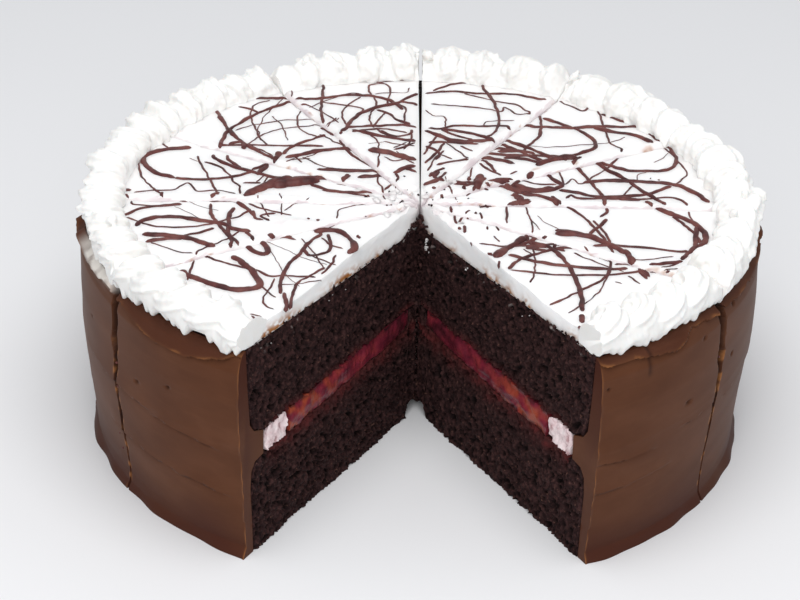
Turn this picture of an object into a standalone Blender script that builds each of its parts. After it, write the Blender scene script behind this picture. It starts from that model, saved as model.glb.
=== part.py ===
"""Black forest cake, two dark sponges high, cut in twelve with two slices taken out.

Each slice is six solids: lower sponge, cherry filling, the ring of pale cream that dams the filling,
upper sponge, chocolate coating, and the whipped cream top with its piped rim. A solid is one outline,
given as (radius, height) in millimetres, swept round the slice's own tip from cut to cut. Each slice is
then turned to its place and drawn out from the middle by a knife's width.
"""
import math
import random

import bmesh
import bpy

MM = 0.001
KNIFE_GAP = 0.3            # mm between the faces of two slices that still touch
SWEEP_STEPS = 4            # facets from cut to cut in the plain layers
RIM_STEPS = 20             # facets from cut to cut in the piped rim
RIM_CENTRE = (113.6, 89.6)  # mm, middle of the piped rope
RIM_HALF = (7.4, 8.2)      # mm, half its width and half its height
RIM_SIDES = (-40, 0, 40, 80, 120, 160, 200)   # degrees round the rope, from its outer foot to its inner foot

# Directions of the knife cuts in degrees, counter-clockwise. The opening runs from the last to the first.
CUTS = (-60.3, -30.8, 0.0, 30.0, 60.3, 90.0, 119.7, 150.8, 181.0, 210.5, 240.8)
WIDE_CUT, WIDE_CUT_SPREAD = 5, 0.5     # the cut at the back stands open by this many degrees each side

# Piped rope of each slice: lobes from cut to cut, depth of the furrows in mm, lean of a lobe across the rope
ROPES = ((3.4, 1.3, 1.1), (3.6, 1.4, 1.2), (4.0, 1.5, 0.9), (4.2, 1.6, 0.6), (3.8, 1.8, 0.3),
         (4.0, 1.8, -0.3), (4.6, 1.7, -0.7), (5.0, 1.5, -0.9), (4.6, 1.3, -1.3), (4.2, 1.1, -1.6))

# The foot of every lower tip has crumbled away, which leaves a small hollow round the axis.
LOWER_SPONGE = ((0, 6.5), (5.2, 4.6), (6.8, 0), (113.2, 0), (113.8, 12), (114.8, 26), (114.2, 32.5),
                (112.0, 35.3), (106.0, 36.0), (60, 35.85), (20, 37.3), (6.0, 39.2), (5.6, 45.3), (0, 45.4))
UPPER_SPONGE = ((0, 45.8), (20, 45.65), (106.4, 46.0), (112.6, 48.6), (115.0, 52.0), (116.4, 66),
                (117.3, 81.4), (0, 76.5))
CHERRY_FILLING = ((6.4, 39.55), (20, 37.65), (60, 36.2), (89.4, 36.3), (90.6, 38.8), (90.5, 43.2),
                  (89.0, 45.3), (40, 45.25), (6.2, 45.35))
CREAM_RING = ((92.6, 36.35), (105.2, 36.35), (106.4, 38.6), (106.4, 43.4), (104.6, 45.6), (93.2, 45.5),
              (91.1, 43.4), (91.0, 38.9))
COATING = ((113.55, 0), (118.7, 0), (118.5, 1.2), (117.5, 4), (118.4, 14), (120.2, 30), (121.9, 46),
           (122.3, 62), (122.1, 74.5), (120.9, 79.2), (118.8, 81.3), (117.75, 81.5), (116.8, 66),
           (115.4, 51.7), (112.8, 48.1), (106.8, 45.7), (106.8, 36.35), (112.2, 35.7), (114.6, 32.7),
           (115.15, 26), (114.15, 12))
CREAM_FOOT = ((0, 76.85), (117.2, 81.9), (119.3, 82.0))
CREAM_TOP = ((60, 86.6), (0, 86.2))


def clear_scene():
    for old in list(bpy.data.objects):
        bpy.data.objects.remove(old)


def make_material(name, colour, roughness):
    material = bpy.data.materials.new(name)
    material.use_nodes = True
    shader = material.node_tree.nodes["Principled BSDF"]
    shader.inputs["Base Color"].default_value = (*colour, 1)
    shader.inputs["Roughness"].default_value = roughness
    return material


def rope_outline():
    """The plain oval of the rope, one point for each of RIM_SIDES."""
    return [(RIM_CENTRE[0] + RIM_HALF[0] * math.cos(math.radians(side)),
             RIM_CENTRE[1] + RIM_HALF[1] * math.sin(math.radians(side))) for side in RIM_SIDES]


def pipe_lobes(rope):
    """Return a shaper that swells and furrows the rope into leaning lobes."""
    lobes, depth, lean = rope

    def shaper(radius, height, along, sweep):
        if height < 82.6 or radius < 106.8:
            return radius, height
        side = math.degrees(math.atan2((height - RIM_CENTRE[1]) / RIM_HALF[1],
                                       (radius - RIM_CENTRE[0]) / RIM_HALF[0]))
        across = (side - 80) / 240
        swell = depth * (2 * abs(math.sin(math.pi * (lobes * along + lean * across))) - 1.1)
        from_cut = min(along, 1 - along) * sweep * RIM_CENTRE[0]
        swell -= 0.9 * math.exp(-from_cut / 2.5)
        push = (math.cos(math.radians(side)), math.sin(math.radians(side)))
        return radius + swell * push[0], height + swell * push[1]
    return shaper


def spread_coating(phases):
    """Return a shaper that gives the coating's outer face the slow swells of a hand-spread side."""
    def shaper(radius, height, along, sweep):
        if radius < 117.3 or not 2 < height < 81:
            return radius, height
        wave = math.sin(7 * along * sweep + height / 17 + phases[0]) + 0.6 * math.sin(height / 9 + phases[1])
        return radius + 0.35 * wave, height
    return shaper


def sweep_solid(name, outline, sweep, steps, shaper=None):
    """Sweep an outline round the Z axis through the angle `sweep` and return it as a closed mesh."""
    shape = bmesh.new()
    corners = [shape.verts.new((radius * MM, 0, height * MM)) for radius, height in outline]
    section = shape.faces.new(corners)
    bmesh.ops.spin(shape, geom=[section], cent=(0, 0, 0), axis=(0, 0, 1), angle=sweep, steps=steps)
    bmesh.ops.remove_doubles(shape, verts=shape.verts, dist=0.000001)
    if shaper:
        for point in shape.verts:
            radius, height = math.hypot(point.co.x, point.co.y) / MM, point.co.z / MM
            turn = math.atan2(point.co.y, point.co.x)
            radius, height = shaper(radius, height, turn / sweep, sweep)
            point.co = (radius * MM * math.cos(turn), radius * MM * math.sin(turn), height * MM)
    bmesh.ops.recalc_face_normals(shape, faces=shape.faces)
    for face in shape.faces:
        face.smooth = True
    mesh = bpy.data.meshes.new(name)
    shape.to_mesh(mesh)
    shape.free()
    mesh.set_sharp_from_angle(angle=math.radians(38))
    return mesh


def place(name, mesh, material, start, sweep, collection, axis_mark):
    """Hang a mesh on the cake's axis, turned to its cut and drawn out along its middle line."""
    mesh.materials.append(material)
    piece = bpy.data.objects.new(name, mesh)
    collection.objects.link(piece)
    draw_out = KNIFE_GAP / 2 / math.sin(sweep / 2) * MM
    middle = start + sweep / 2
    piece.location = (draw_out * math.cos(middle), draw_out * math.sin(middle), 0)
    piece.rotation_euler = (0, 0, start)
    piece.parent = axis_mark
    return piece


def centre_on_origin(pieces, axis_mark):
    """Move the axis so that the middle of the cake's box stands on the origin."""
    bpy.context.view_layer.update()
    corners = [piece.matrix_world @ point.co for piece in pieces for point in piece.data.vertices]
    for side in (0, 1):
        values = [corner[side] for corner in corners]
        axis_mark.location[side] = -(min(values) + max(values)) / 2


def build_cake():
    clear_scene()
    rng = random.Random(12)
    collection = bpy.data.collections.new("black_forest_cake")
    bpy.context.scene.collection.children.link(collection)
    axis_mark = bpy.data.objects.new("cake_axis", None)
    collection.objects.link(axis_mark)
    sponge = make_material("dark_sponge", (0.026, 0.011, 0.011), 0.85)
    cherry = make_material("cherry_filling", (0.150, 0.012, 0.014), 0.35)
    pale = make_material("filling_cream", (0.770, 0.610, 0.610), 0.6)
    coat = make_material("chocolate_coating", (0.100, 0.037, 0.017), 0.48)
    cream = make_material("whipped_cream", (0.880, 0.870, 0.850), 0.55)
    pieces = []
    for number, (first, second) in enumerate(zip(CUTS, CUTS[1:]), 1):
        start = first + (WIDE_CUT_SPREAD if number - 1 == WIDE_CUT else 0)
        end = second - (WIDE_CUT_SPREAD if number == WIDE_CUT else 0)
        start, sweep = math.radians(start), math.radians(end - start)
        phases = (rng.uniform(0, 6), rng.uniform(0, 6))
        layers = (
            ("sponge_lower", LOWER_SPONGE, SWEEP_STEPS, None, sponge),
            ("sponge_upper", UPPER_SPONGE, SWEEP_STEPS, None, sponge),
            ("cherry_filling", CHERRY_FILLING, SWEEP_STEPS, None, cherry),
            ("cream_ring", CREAM_RING, SWEEP_STEPS, None, pale),
            ("coating", COATING, SWEEP_STEPS, spread_coating(phases), coat),
            ("cream_top", (*CREAM_FOOT, *rope_outline(), *CREAM_TOP), RIM_STEPS,
             pipe_lobes(ROPES[number - 1]), cream))
        for layer, outline, steps, shaper, material in layers:
            name = f"{layer}_{number:02d}"
            mesh = sweep_solid(name, outline, sweep, steps, shaper)
            pieces.append(place(name, mesh, material, start, sweep, collection, axis_mark))
    centre_on_origin(pieces, axis_mark)


build_cake()
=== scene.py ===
# %% [markdown]
# # A black forest cake, cut in twelve, with two slices taken
# The real cake is two dark chocolate sponges with cherry filling between them. Chocolate cream coats
# its side, whipped cream covers its top, and a rope of the same cream is piped round the rim. The packed
# model gives every layer its place, so loading it first means that no later piece needs fitting.

# %% Load the model
import math
import random
import bmesh
import bpy
import numpy as np
from mathutils import Matrix, Vector, kdtree


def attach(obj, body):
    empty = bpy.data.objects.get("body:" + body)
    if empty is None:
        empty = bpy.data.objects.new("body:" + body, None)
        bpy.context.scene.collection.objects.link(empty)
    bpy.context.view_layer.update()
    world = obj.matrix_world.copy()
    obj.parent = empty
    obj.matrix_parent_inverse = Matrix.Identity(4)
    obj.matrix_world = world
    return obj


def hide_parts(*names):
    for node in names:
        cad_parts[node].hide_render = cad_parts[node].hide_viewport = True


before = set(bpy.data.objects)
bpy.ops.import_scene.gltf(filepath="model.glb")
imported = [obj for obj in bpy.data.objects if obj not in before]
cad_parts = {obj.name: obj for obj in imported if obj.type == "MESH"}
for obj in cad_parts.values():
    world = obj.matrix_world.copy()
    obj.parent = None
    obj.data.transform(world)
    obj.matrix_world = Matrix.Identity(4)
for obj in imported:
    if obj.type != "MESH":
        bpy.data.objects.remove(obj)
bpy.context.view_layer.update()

# %% [markdown]
# ## The cake's own ruler
# A round cake is easiest to describe from its middle: how far out, which way, how high. A cutter works
# the same way, so every slice is known by its two knife cuts. The helpers below turn such a place into
# plain x, y and z. Millimetres are kept until the mesh is made, because a baker thinks in them.

# %% Slices and places
MM = 0.001
AXIS = (0.17, -7.83)
CUTS = (-60.3, -30.8, 0.0, 30.0, 60.3, 90.0, 119.7, 150.8, 181.0, 210.5, 240.8)
SLICES = range(1, 11)
SPONGE_TOP = ((0, 76.5), (117.3, 81.4))
TOP_LEVEL = 86.5
OPEN_SLICES = (1, 10)
OPEN_SIDES = (CUTS[-1], CUTS[0] + 360)
OPEN_BY = 0.3        # degrees by which the cream stands back from the open back cut, on each side
KNIFE_GAP = 0.3      # mm
TIP_RADIUS = 0.4     # the detailed slices are blunt by this much
SIDE_RADIUS = 120    # for lengths along the side, from an angle
MM_PER_DEGREE = 2.12


def slice_span(number):
    """Start and end of a slice in radians. The back cut stands open, so its two slices stop short."""
    start = CUTS[number - 1] + (OPEN_BY if number == 6 else 0)
    end = CUTS[number] - (OPEN_BY if number == 5 else 0)
    return math.radians(start), math.radians(end)


def slice_xy(number, radius, turn):
    """Place of a point `radius` mm out and `turn` radians past the slice's first cut."""
    start, end = slice_span(number)
    draw_out, middle = KNIFE_GAP / 2 / math.sin((end - start) / 2), (start + end) / 2
    return (AXIS[0] + draw_out * math.cos(middle) + radius * np.cos(start + turn),
            AXIS[1] + draw_out * math.sin(middle) + radius * np.sin(start + turn))


def ripples(x, y, z, size, seed):
    """A smooth random field, mostly between -1 and 1, with swells about `size` mm across."""
    rng = np.random.default_rng(seed)
    field = 0
    for _ in range(12):
        way = rng.normal(size=3)
        way *= 2 * math.pi / size * rng.uniform(0.6, 1.5) / np.linalg.norm(way)
        field = field + np.sin(way[0] * x + way[1] * y + way[2] * z + rng.uniform(0, 6.28))
    return field / 3.4


def to_cut(x, y, cuts=CUTS[1:5] + CUTS[6:-1]):
    """Distance in mm from a point to the nearest of the closed knife cuts, and to the axis."""
    x, y = np.asarray(x, float) - AXIS[0], np.asarray(y, float) - AXIS[1]
    from_axis = np.hypot(x, y)
    nearest = from_axis + 50
    for cut in cuts:
        c, s = math.cos(math.radians(cut)), math.sin(math.radians(cut))
        ahead = x * c + y * s
        nearest = np.where(ahead > 0, np.minimum(nearest, np.abs(y * c - x * s)), nearest)
    return nearest, from_axis


def bell(away, wide, power=2):
    """1 where `away` is 0, gone soon after `wide`. A higher power gives a flatter top and steeper sides."""
    return np.exp(-(away / wide) ** power)


def read_off(line, place):
    """The second value of a line of corners, at a place along its first."""
    return np.interp(place, *zip(*line))


def from_middle(x, y):
    """Distance in mm and direction in degrees of places as seen from the cake's axis."""
    x, y = x - AXIS[0], y - AXIS[1]
    return np.hypot(x, y), np.degrees(np.arctan2(y, x)) % 360


print("slices in degrees", [round(math.degrees(b - a), 1) for a, b in map(slice_span, SLICES)])

# %% [markdown]
# ## From points to a piece
# Most of the cake's parts are a flat outline carried round from one cut to the next, like a slice off a
# wheel. Blender's Spin does that, but here every ring of points is also moved a little by hand, for
# waves, pits and knife drag. So the rings are made as a grid of numbers, shaped, and then skinned.

# %% Skinning helpers
def make_piece(name, points, faces, material, sharp=40):
    """A smooth-shaded mesh object from points in mm, its faces turned outwards."""
    mesh = bpy.data.meshes.new(name)
    mesh.from_pydata((np.asarray(points).reshape(-1, 3) * MM).tolist(), [], faces)
    skin = bmesh.new()
    skin.from_mesh(mesh)
    bmesh.ops.recalc_face_normals(skin, faces=skin.faces)
    for face in skin.faces:
        face.smooth = True
    skin.to_mesh(mesh)
    skin.free()
    mesh.set_sharp_from_angle(angle=math.radians(sharp))
    mesh.materials.append(material)
    piece = bpy.data.objects.new(name, mesh)
    bpy.context.scene.collection.objects.link(piece)
    return piece


def ring_faces(rings, around):
    """Faces of `rings` loops of `around` points each, with an end cap on the first and last loop."""
    faces = [(a * around + b, a * around + (b + 1) % around,
              (a + 1) * around + (b + 1) % around, (a + 1) * around + b)
             for a in range(rings - 1) for b in range(around)]
    return faces + [tuple(range(around)), tuple(range((rings - 1) * around, rings * around))]


def joined(meshes):
    """Several meshes, each as (points, faces), put together as one."""
    faces, shift = [], 0
    for points, own_faces in meshes:
        faces += [tuple(i + shift for i in face) for face in own_faces]
        shift += len(points)
    return np.concatenate([points for points, _ in meshes]), faces


def swept_points(number, outline, turns, shaper=None, begin=None):
    """Points of an outline of (radius, height) carried round the slice's tip to each of `turns`."""
    outline, turns = np.asarray(outline, float), np.asarray(turns, float)
    radius = np.tile(outline[:, 0], (len(turns), 1))
    height = np.tile(outline[:, 1], (len(turns), 1))
    turn = np.tile(turns[:, None], (1, len(outline)))
    if shaper:
        radius, height, turn = shaper(radius, height, turn)
    x, y = slice_xy(number, radius, turn if begin is None else turn + begin - slice_span(number)[0])
    return np.stack([x, y, height], -1)


def settle(piece, slot, *nodes):
    """Sit a piece on the cake's one body and stand it in for the solids it refines, which are hidden. `slot`
    is not used.
    """
    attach(piece, "root")
    if nodes:
        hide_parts(*nodes)
    return piece


def fine_line(points, step):
    """The same line of (radius, height) corners with points no further than `step` mm apart."""
    points = np.asarray(points, float)
    line = []
    for a, b in zip(points, points[1:]):
        count = max(1, round(np.linalg.norm(b - a) / step))
        line += [a + (b - a) * i / count for i in range(count)]
    return np.array(line + [points[-1]])


print("points on the sponge's top line at 10 mm", len(fine_line(SPONGE_TOP, 10)))

# %% [markdown]
# ## Finishes
# A finish is a shader: a base colour, how dull or shiny it is, and a fine grain. Food is never one flat
# colour, so each finish mixes two or three close tones by noise that sits in the object's own space.
# The grain is a bump, which only tilts the light and costs no geometry.

# %% Finish helpers
def new_finish(name, roughness, sheen_of_surface=0.5):
    """A material and its shader, ready for colour and grain."""
    material = bpy.data.materials.new(name)
    material.use_nodes = True
    shader = material.node_tree.nodes["Principled BSDF"]
    shader.inputs["Roughness"].default_value = roughness
    shader.inputs["Specular IOR Level"].default_value = sheen_of_surface
    return material, shader


def noise_of(tree, size_mm, detail=3.0, stretch=(1, 1, 1), rough=0.55):
    """A noise pattern with blots about `size_mm` across, in the object's own space."""
    place, scale = tree.nodes.new("ShaderNodeTexCoord"), tree.nodes.new("ShaderNodeMapping")
    noise = tree.nodes.new("ShaderNodeTexNoise")
    scale.inputs["Scale"].default_value = stretch
    noise.inputs["Scale"].default_value = 1000 / size_mm
    noise.inputs["Detail"].default_value = detail
    noise.inputs["Roughness"].default_value = rough
    tree.links.new(place.outputs["Object"], scale.inputs["Vector"])
    tree.links.new(scale.outputs["Vector"], noise.inputs["Vector"])
    return noise.outputs["Fac"]


def blend_tones(tree, amount, stops):
    """A colour ramp over `amount`, from stops of (place, colour)."""
    ramp = tree.nodes.new("ShaderNodeValToRGB")
    while len(ramp.color_ramp.elements) < len(stops):
        ramp.color_ramp.elements.new(0.5)
    for element, (spot, colour) in zip(ramp.color_ramp.elements, stops):
        element.position, element.color = spot, (*colour, 1)
    tree.links.new(amount, ramp.inputs["Fac"])
    return ramp.outputs["Color"]


def mix_tones(tree, amount, first, second):
    """Mix two colours by an amount between 0 and 1. A colour may be a plain triple."""
    mix = tree.nodes.new("ShaderNodeMix")
    mix.data_type = "RGBA"
    for socket, value in ((mix.inputs[6], first), (mix.inputs[7], second)):
        if isinstance(value, tuple):
            socket.default_value = (*value, 1)
        else:
            tree.links.new(value, socket)
    tree.links.new(amount, mix.inputs[0])
    return mix.outputs[2]


def between(tree, value, low, high):
    """0 below `low`, 1 above `high`, and a straight slope from one to the other."""
    node = tree.nodes.new("ShaderNodeMapRange")
    node.inputs["From Min"].default_value, node.inputs["From Max"].default_value = low, high
    tree.links.new(value, node.inputs["Value"])
    return node.outputs["Result"]


def stored(tree, name):
    """A value that the mesh itself carries at every point, such as how stained it is."""
    node = tree.nodes.new("ShaderNodeAttribute")
    node.attribute_name = name
    return node.outputs["Fac"]


def add_grain(tree, shader, height, strength, depth_mm):
    """A fine bump from a noise pattern, as if `depth_mm` deep."""
    bump = tree.nodes.new("ShaderNodeBump")
    bump.inputs["Strength"].default_value = strength
    bump.inputs["Distance"].default_value = depth_mm * MM
    tree.links.new(height, bump.inputs["Height"])
    tree.links.new(bump.outputs["Normal"], shader.inputs["Normal"])


def store(piece, name, values):
    """Write one number per point of a piece's mesh, for a finish to read."""
    layer = piece.data.attributes.new(name, "FLOAT", "POINT")
    layer.data.foreach_set("value", np.asarray(values, np.float32).ravel())

# %% [markdown]
# ## Dark sponge
# The crumb is nearly black, with a little red in it, and every pore is painted darker still, as the shade
# in it. Warm specks are painted highlights, as on crumb lit from above. Where the knife dragged cherry
# juice or cream across it, it takes a stain. The mesh carries the stain as a number, so the finish only has
# to mix towards wine red.

# %% Sponge finish
def sponge_finish():
    material, shader = new_finish("dark_sponge_crumb", 0.8, 0.12)
    tree = material.node_tree
    crumb = blend_tones(tree, noise_of(tree, 1.8, 4),
                        ((0.32, (0.010, 0.0035, 0.0038)), (0.5, (0.026, 0.0105, 0.0105)),
                         (0.7, (0.060, 0.026, 0.024))))
    # Painted highlights: warm specks standing in for the glints on crumb lit from above.
    painted_glint = blend_tones(tree, noise_of(tree, 1.1, 2), ((0.64, (0, 0, 0)), (0.72, (1, 1, 1))))
    crumb = mix_tones(tree, painted_glint, crumb, (0.105, 0.050, 0.038))
    # Painted shade: each pore is darker the deeper it is sunk.
    crumb = mix_tones(tree, stored(tree, "pore"), crumb, (0.004, 0.0015, 0.0015))
    crumb = mix_tones(tree, stored(tree, "juice"), crumb, (0.085, 0.016, 0.016))
    crumb = mix_tones(tree, stored(tree, "cream_fleck"), crumb, (0.62, 0.55, 0.52))
    tree.links.new(crumb, shader.inputs["Base Color"])
    add_grain(tree, shader, noise_of(tree, 0.55, 4), 0.55, 0.5)
    return material


SPONGE = sponge_finish()
print("sponge finish", SPONGE.name)

# %% [markdown]
# ## Cherry filling, filling cream and coating
# Thickened cherry juice is a wet gel, dark where it is deep; the orange-red glints towards its outer end
# are painted light. A clear coat gives the wet look. The ring of cream round it has drunk some of the juice,
# so it is pale pink and broken. The chocolate cream on the side is spread with a warm blade: a soft satin
# with faint streaks along the stroke. Its foot, the band under its rolled ledge, its pits, the steps between
# strokes and its cracks get painted shade, and pale orange painted highlights run along the ledge and the
# open cuts, with orange flecks beside the closed cuts and a dark drip at one place.

# %% Filling and coating finishes
def cherry_finish():
    material, shader = new_finish("cherry_gel", 0.4, 0.2)
    tree = material.node_tree
    gel = blend_tones(tree, noise_of(tree, 9, 3, (1, 1, 1.6)),
                      ((0.32, (0.085, 0.010, 0.020)), (0.5, (0.165, 0.016, 0.030)),
                       (0.68, (0.240, 0.030, 0.034))))
    haze = blend_tones(tree, noise_of(tree, 3.4, 3), ((0.5, (0, 0, 0)), (0.8, (0.18, 0.18, 0.18))))
    gel = mix_tones(tree, haze, gel, (0.22, 0.042, 0.062))
    # Painted light: orange-red glints on the gel's outer part, as if lit through.
    gel = mix_tones(tree, stored(tree, "thin_gel"), gel, (0.34, 0.065, 0.025))
    gel = mix_tones(tree, stored(tree, "crumbed"), gel, (0.028, 0.009, 0.011))
    tree.links.new(gel, shader.inputs["Base Color"])
    shader.inputs["Coat Weight"].default_value = 0.05
    shader.inputs["Coat Roughness"].default_value = 0.25
    add_grain(tree, shader, noise_of(tree, 1.4, 3), 0.5, 0.6)
    return material


def filling_cream_finish():
    material, shader = new_finish("pink_filling_cream", 0.6, 0.4)
    tree = material.node_tree
    tone = blend_tones(tree, noise_of(tree, 3.2, 4),
                       ((0.33, (0.50, 0.30, 0.31)), (0.46, (0.80, 0.63, 0.64)), (0.7, (0.90, 0.79, 0.79))))
    tree.links.new(tone, shader.inputs["Base Color"])
    add_grain(tree, shader, noise_of(tree, 1.1, 4), 0.6, 0.5)
    return material


def coating_finish():
    material, shader = new_finish("chocolate_coating_cream", 0.48, 0.09)
    tree = material.node_tree
    tone = blend_tones(tree, noise_of(tree, 26, 4, (1, 1, 2.2)),
                       ((0.3, (0.082, 0.028, 0.012)), (0.55, (0.098, 0.035, 0.0155)),
                        (0.75, (0.116, 0.044, 0.021))))
    streak = blend_tones(tree, noise_of(tree, 2.2, 5, (0.12, 0.12, 1)),
                         ((0.56, (0, 0, 0)), (0.8, (1, 1, 1))))
    tone = mix_tones(tree, between(tree, streak, 0, 11), tone, (0.20, 0.09, 0.045))
    # Painted shade: darker towards the foot and in the band under the rolled ledge.
    tone = mix_tones(tree, stored(tree, "foot_shade"), tone, (0.056, 0.016, 0.010))
    # Painted highlights: pale orange lines along the ledge and the open cuts, with orange flecks beside the
    # closed cuts.
    tone = mix_tones(tree, stored(tree, "painted_edge_glint_and_flecks"), tone, (0.42, 0.170, 0.055))
    # Painted shade in the pits, under the stroke steps and in the cracks, and a dark drip.
    tone = mix_tones(tree, stored(tree, "hollow_shade_and_drip"), tone, (0.013, 0.005, 0.004))
    tone = mix_tones(tree, stored(tree, "cream_smear"), tone, (0.85, 0.81, 0.75))
    tree.links.new(tone, shader.inputs["Base Color"])
    add_grain(tree, shader, noise_of(tree, 2.4, 4, (0.4, 0.4, 1)), 0.05, 0.3)
    return material


CHERRY, FILLING_CREAM, COATING = cherry_finish(), filling_cream_finish(), coating_finish()
print("filling and coating finishes", [m.name for m in (CHERRY, FILLING_CREAM, COATING)])

# %% [markdown]
# ## Whipped cream and chocolate drizzle
# Whipped cream is fat and air. Light goes a few millimetres in and out again, so its shadows are soft and
# its furrows glow a little; subsurface scattering does that. The flat sheet is denser and smoother than the
# piped rim, so its cut faces carry more light from above. The piped rim's cream is painted darker than
# the sheet's, as painted shade on the rope. Where the knife passed, it is smeared and faintly pink; on the
# mound, round the middle and on broken cream a grey-pink tint is painted shade. The drizzle is plain dark
# chocolate, brown with a slight plum tint, half shiny.

# %% Cream and drizzle finishes
def cream_finish(name, dull, bright, scatter_share, scatter_radii, scatter_reach):
    """Cream between a dull and a bright tone. The reach of scattered light is in metres."""
    material, shader = new_finish(name, 0.5, 0.3)
    tree = material.node_tree
    tone = blend_tones(tree, noise_of(tree, 14, 3), ((0.35, dull), (0.65, bright)))
    # Pink where the knife smeared juice, and painted grey-pink shade on the mound, round the middle and on
    # broken cream.
    tone = mix_tones(tree, stored(tree, "blush"), tone, (0.70, 0.615, 0.635))
    tone = mix_tones(tree, stored(tree, "crumb_stain"), tone, (0.40, 0.150, 0.036))
    tree.links.new(tone, shader.inputs["Base Color"])
    shader.inputs["Subsurface Weight"].default_value = scatter_share
    shader.inputs["Subsurface Radius"].default_value = scatter_radii
    shader.inputs["Subsurface Scale"].default_value = scatter_reach
    add_grain(tree, shader, noise_of(tree, 2.4, 4), 0.18, 0.5)
    return material


def drizzle_finish():
    material, shader = new_finish("chocolate_drizzle", 0.42, 0.22)
    tree = material.node_tree
    tone = blend_tones(tree, noise_of(tree, 6, 3),
                       ((0.32, (0.050, 0.015, 0.015)), (0.5, (0.105, 0.032, 0.030)),
                        (0.68, (0.165, 0.056, 0.047))))
    tree.links.new(tone, shader.inputs["Base Color"])
    add_grain(tree, shader, noise_of(tree, 1.2, 3), 0.25, 0.3)
    return material


# Painted shade: the piped cream's tones are darker than the spread cream's, though it is the same cream.
PIPED_CREAM = cream_finish("piped_cream", (0.862, 0.852, 0.825), (0.898, 0.892, 0.872),
                           0.25, (1.0, 0.8, 0.7), 0.002)
CREAM = cream_finish("spread_cream", (0.95, 0.93, 0.915), (0.97, 0.952, 0.94),
                     0.75, (0.9, 0.97, 1.0), 0.006)
DRIZZLE = drizzle_finish()
print("cream and drizzle finishes", [m.name for m in (PIPED_CREAM, CREAM, DRIZZLE)])

# %% [markdown]
# ## The layers that stay out of sight
# Inside the uncut slices the sponges, the filling and its cream ring only show down the open back cut, so
# the model's own solids are shape enough. They keep their meshes and get the finishes made above.

# %% Dress the hidden layers
LAYER_FINISH = {"sponge": SPONGE, "cherry": CHERRY, "cream_ring": FILLING_CREAM, "coating": COATING,
                "cream_top": CREAM}

for node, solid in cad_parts.items():
    layer = next(k for k in LAYER_FINISH if node.startswith(k))
    solid.data.materials.clear()
    solid.data.materials.append(LAYER_FINISH[layer])
print("solids dressed", len(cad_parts))

# %% [markdown]
# ## A cut face with real crumb
# A knife through dark sponge leaves torn pores, one to three millimetres wide. A bump alone looks printed
# on, so the cut face is a fine grid and every pore is pressed into it. Pore centres are scattered by a
# seeded random; a kd-tree finds the nearest ones quickly. Behind the face the slice is a plain wedge.

# %% Cut slice helper
def open_wedge(name, number, inner, outer, bottom, top, relief, material, step=0.47, ragged=0.0,
               lid=None, shares=(0.05, 0.35, 0.7, 1.0)):
    """A wedge whose open cut is a fine grid. `inner` and `outer` give the radius by share of the height,
    `bottom` and `top` the height by radius, and `relief(r, z)` how far each point stands out in mm.
    Where a `lid(x, y)` is given, it sets the height of the upper face."""
    start, end = slice_span(number)
    opens_at_start = number == 1
    along = int((outer[-1][1] - inner) / step)
    up = int((read_off(top, 60) - read_off(bottom, 60)) / step)
    u, v = np.meshgrid(np.linspace(0, 1, along), np.linspace(0, 1, up), indexing="ij")
    radius = inner + u * (read_off(outer, v) - inner)
    turn = np.zeros_like(radius) if opens_at_start else np.full_like(radius, end - start)
    x, y = slice_xy(number, radius, turn)
    low, high = read_off(bottom, radius), lid(x, y) if lid else read_off(top, radius)
    height = low + v * (high - low)
    tear = 0.7 * ripples(radius, 0, 0, 4.2, number + 5) + 0.6 * ripples(radius, 0, 9, 1.7, number)
    near_top = np.clip(1 - (high - height) / 2.6, 0, 1) if not lid else 0
    near_foot = np.clip(1 - (height - low) / 2.0, 0, 1) * (height > 3)
    torn_height = height + ragged * tear * near_top + ragged * 0.5 * tear[::-1] * near_foot
    out, marks = relief(radius, torn_height)
    facing = start - math.pi / 2 if opens_at_start else end + math.pi / 2
    face = np.stack([x + out * math.cos(facing), y + out * math.sin(facing), torn_height], -1)
    face = face.reshape(-1, 3)
    rim = ([i * up for i in range(along)] + [(along - 1) * up + j for j in range(1, up)]
           + [i * up + up - 1 for i in range(along - 2, -1, -1)] + [j for j in range(up - 2, 0, -1)])
    rings, on_lid = [], np.array([k % up == up - 1 for k in rim])
    for share in shares:
        moved = share * (end - start) if opens_at_start else (1 - share) * (end - start)
        rx, ry = slice_xy(number, radius.ravel()[rim], moved)
        rz = height.ravel()[rim]
        rings.append(np.stack([rx, ry, np.where(on_lid, lid(rx, ry), rz) if lid else rz], -1))
    points = np.concatenate([face, *rings])
    faces = [(i * up + j, (i + 1) * up + j, (i + 1) * up + j + 1, i * up + j + 1)
             for i in range(along - 1) for j in range(up - 1)]
    loops = [rim] + [list(range(len(face) + k * len(rim), len(face) + (k + 1) * len(rim)))
                     for k in range(len(shares))]
    for near, far in zip(loops, loops[1:]):
        faces += [(near[k], near[(k + 1) % len(rim)], far[(k + 1) % len(rim)], far[k])
                  for k in range(len(rim))]
    faces.append(tuple(loops[-1]))
    piece = make_piece(name, points, faces, material, sharp=60)
    for mark, values in marks.items():
        store(piece, mark, np.concatenate([values.ravel(), np.zeros(len(shares) * len(rim))]))
    return piece


# %% Torn crumb
def pore_field(seed, width, height, share):
    """Random pores over a cut face: a kd-tree of centres and the size of each pore."""
    rng = random.Random(seed)
    count = int(width * height * share)
    tree, sizes = kdtree.KDTree(count), []
    for k in range(count):
        tree.insert((rng.uniform(0, width), rng.uniform(0, height), 0), k)
        sizes.append(0.4 + 1.2 * rng.random() ** 2.4)
    tree.balance()
    return tree, sizes


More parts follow.
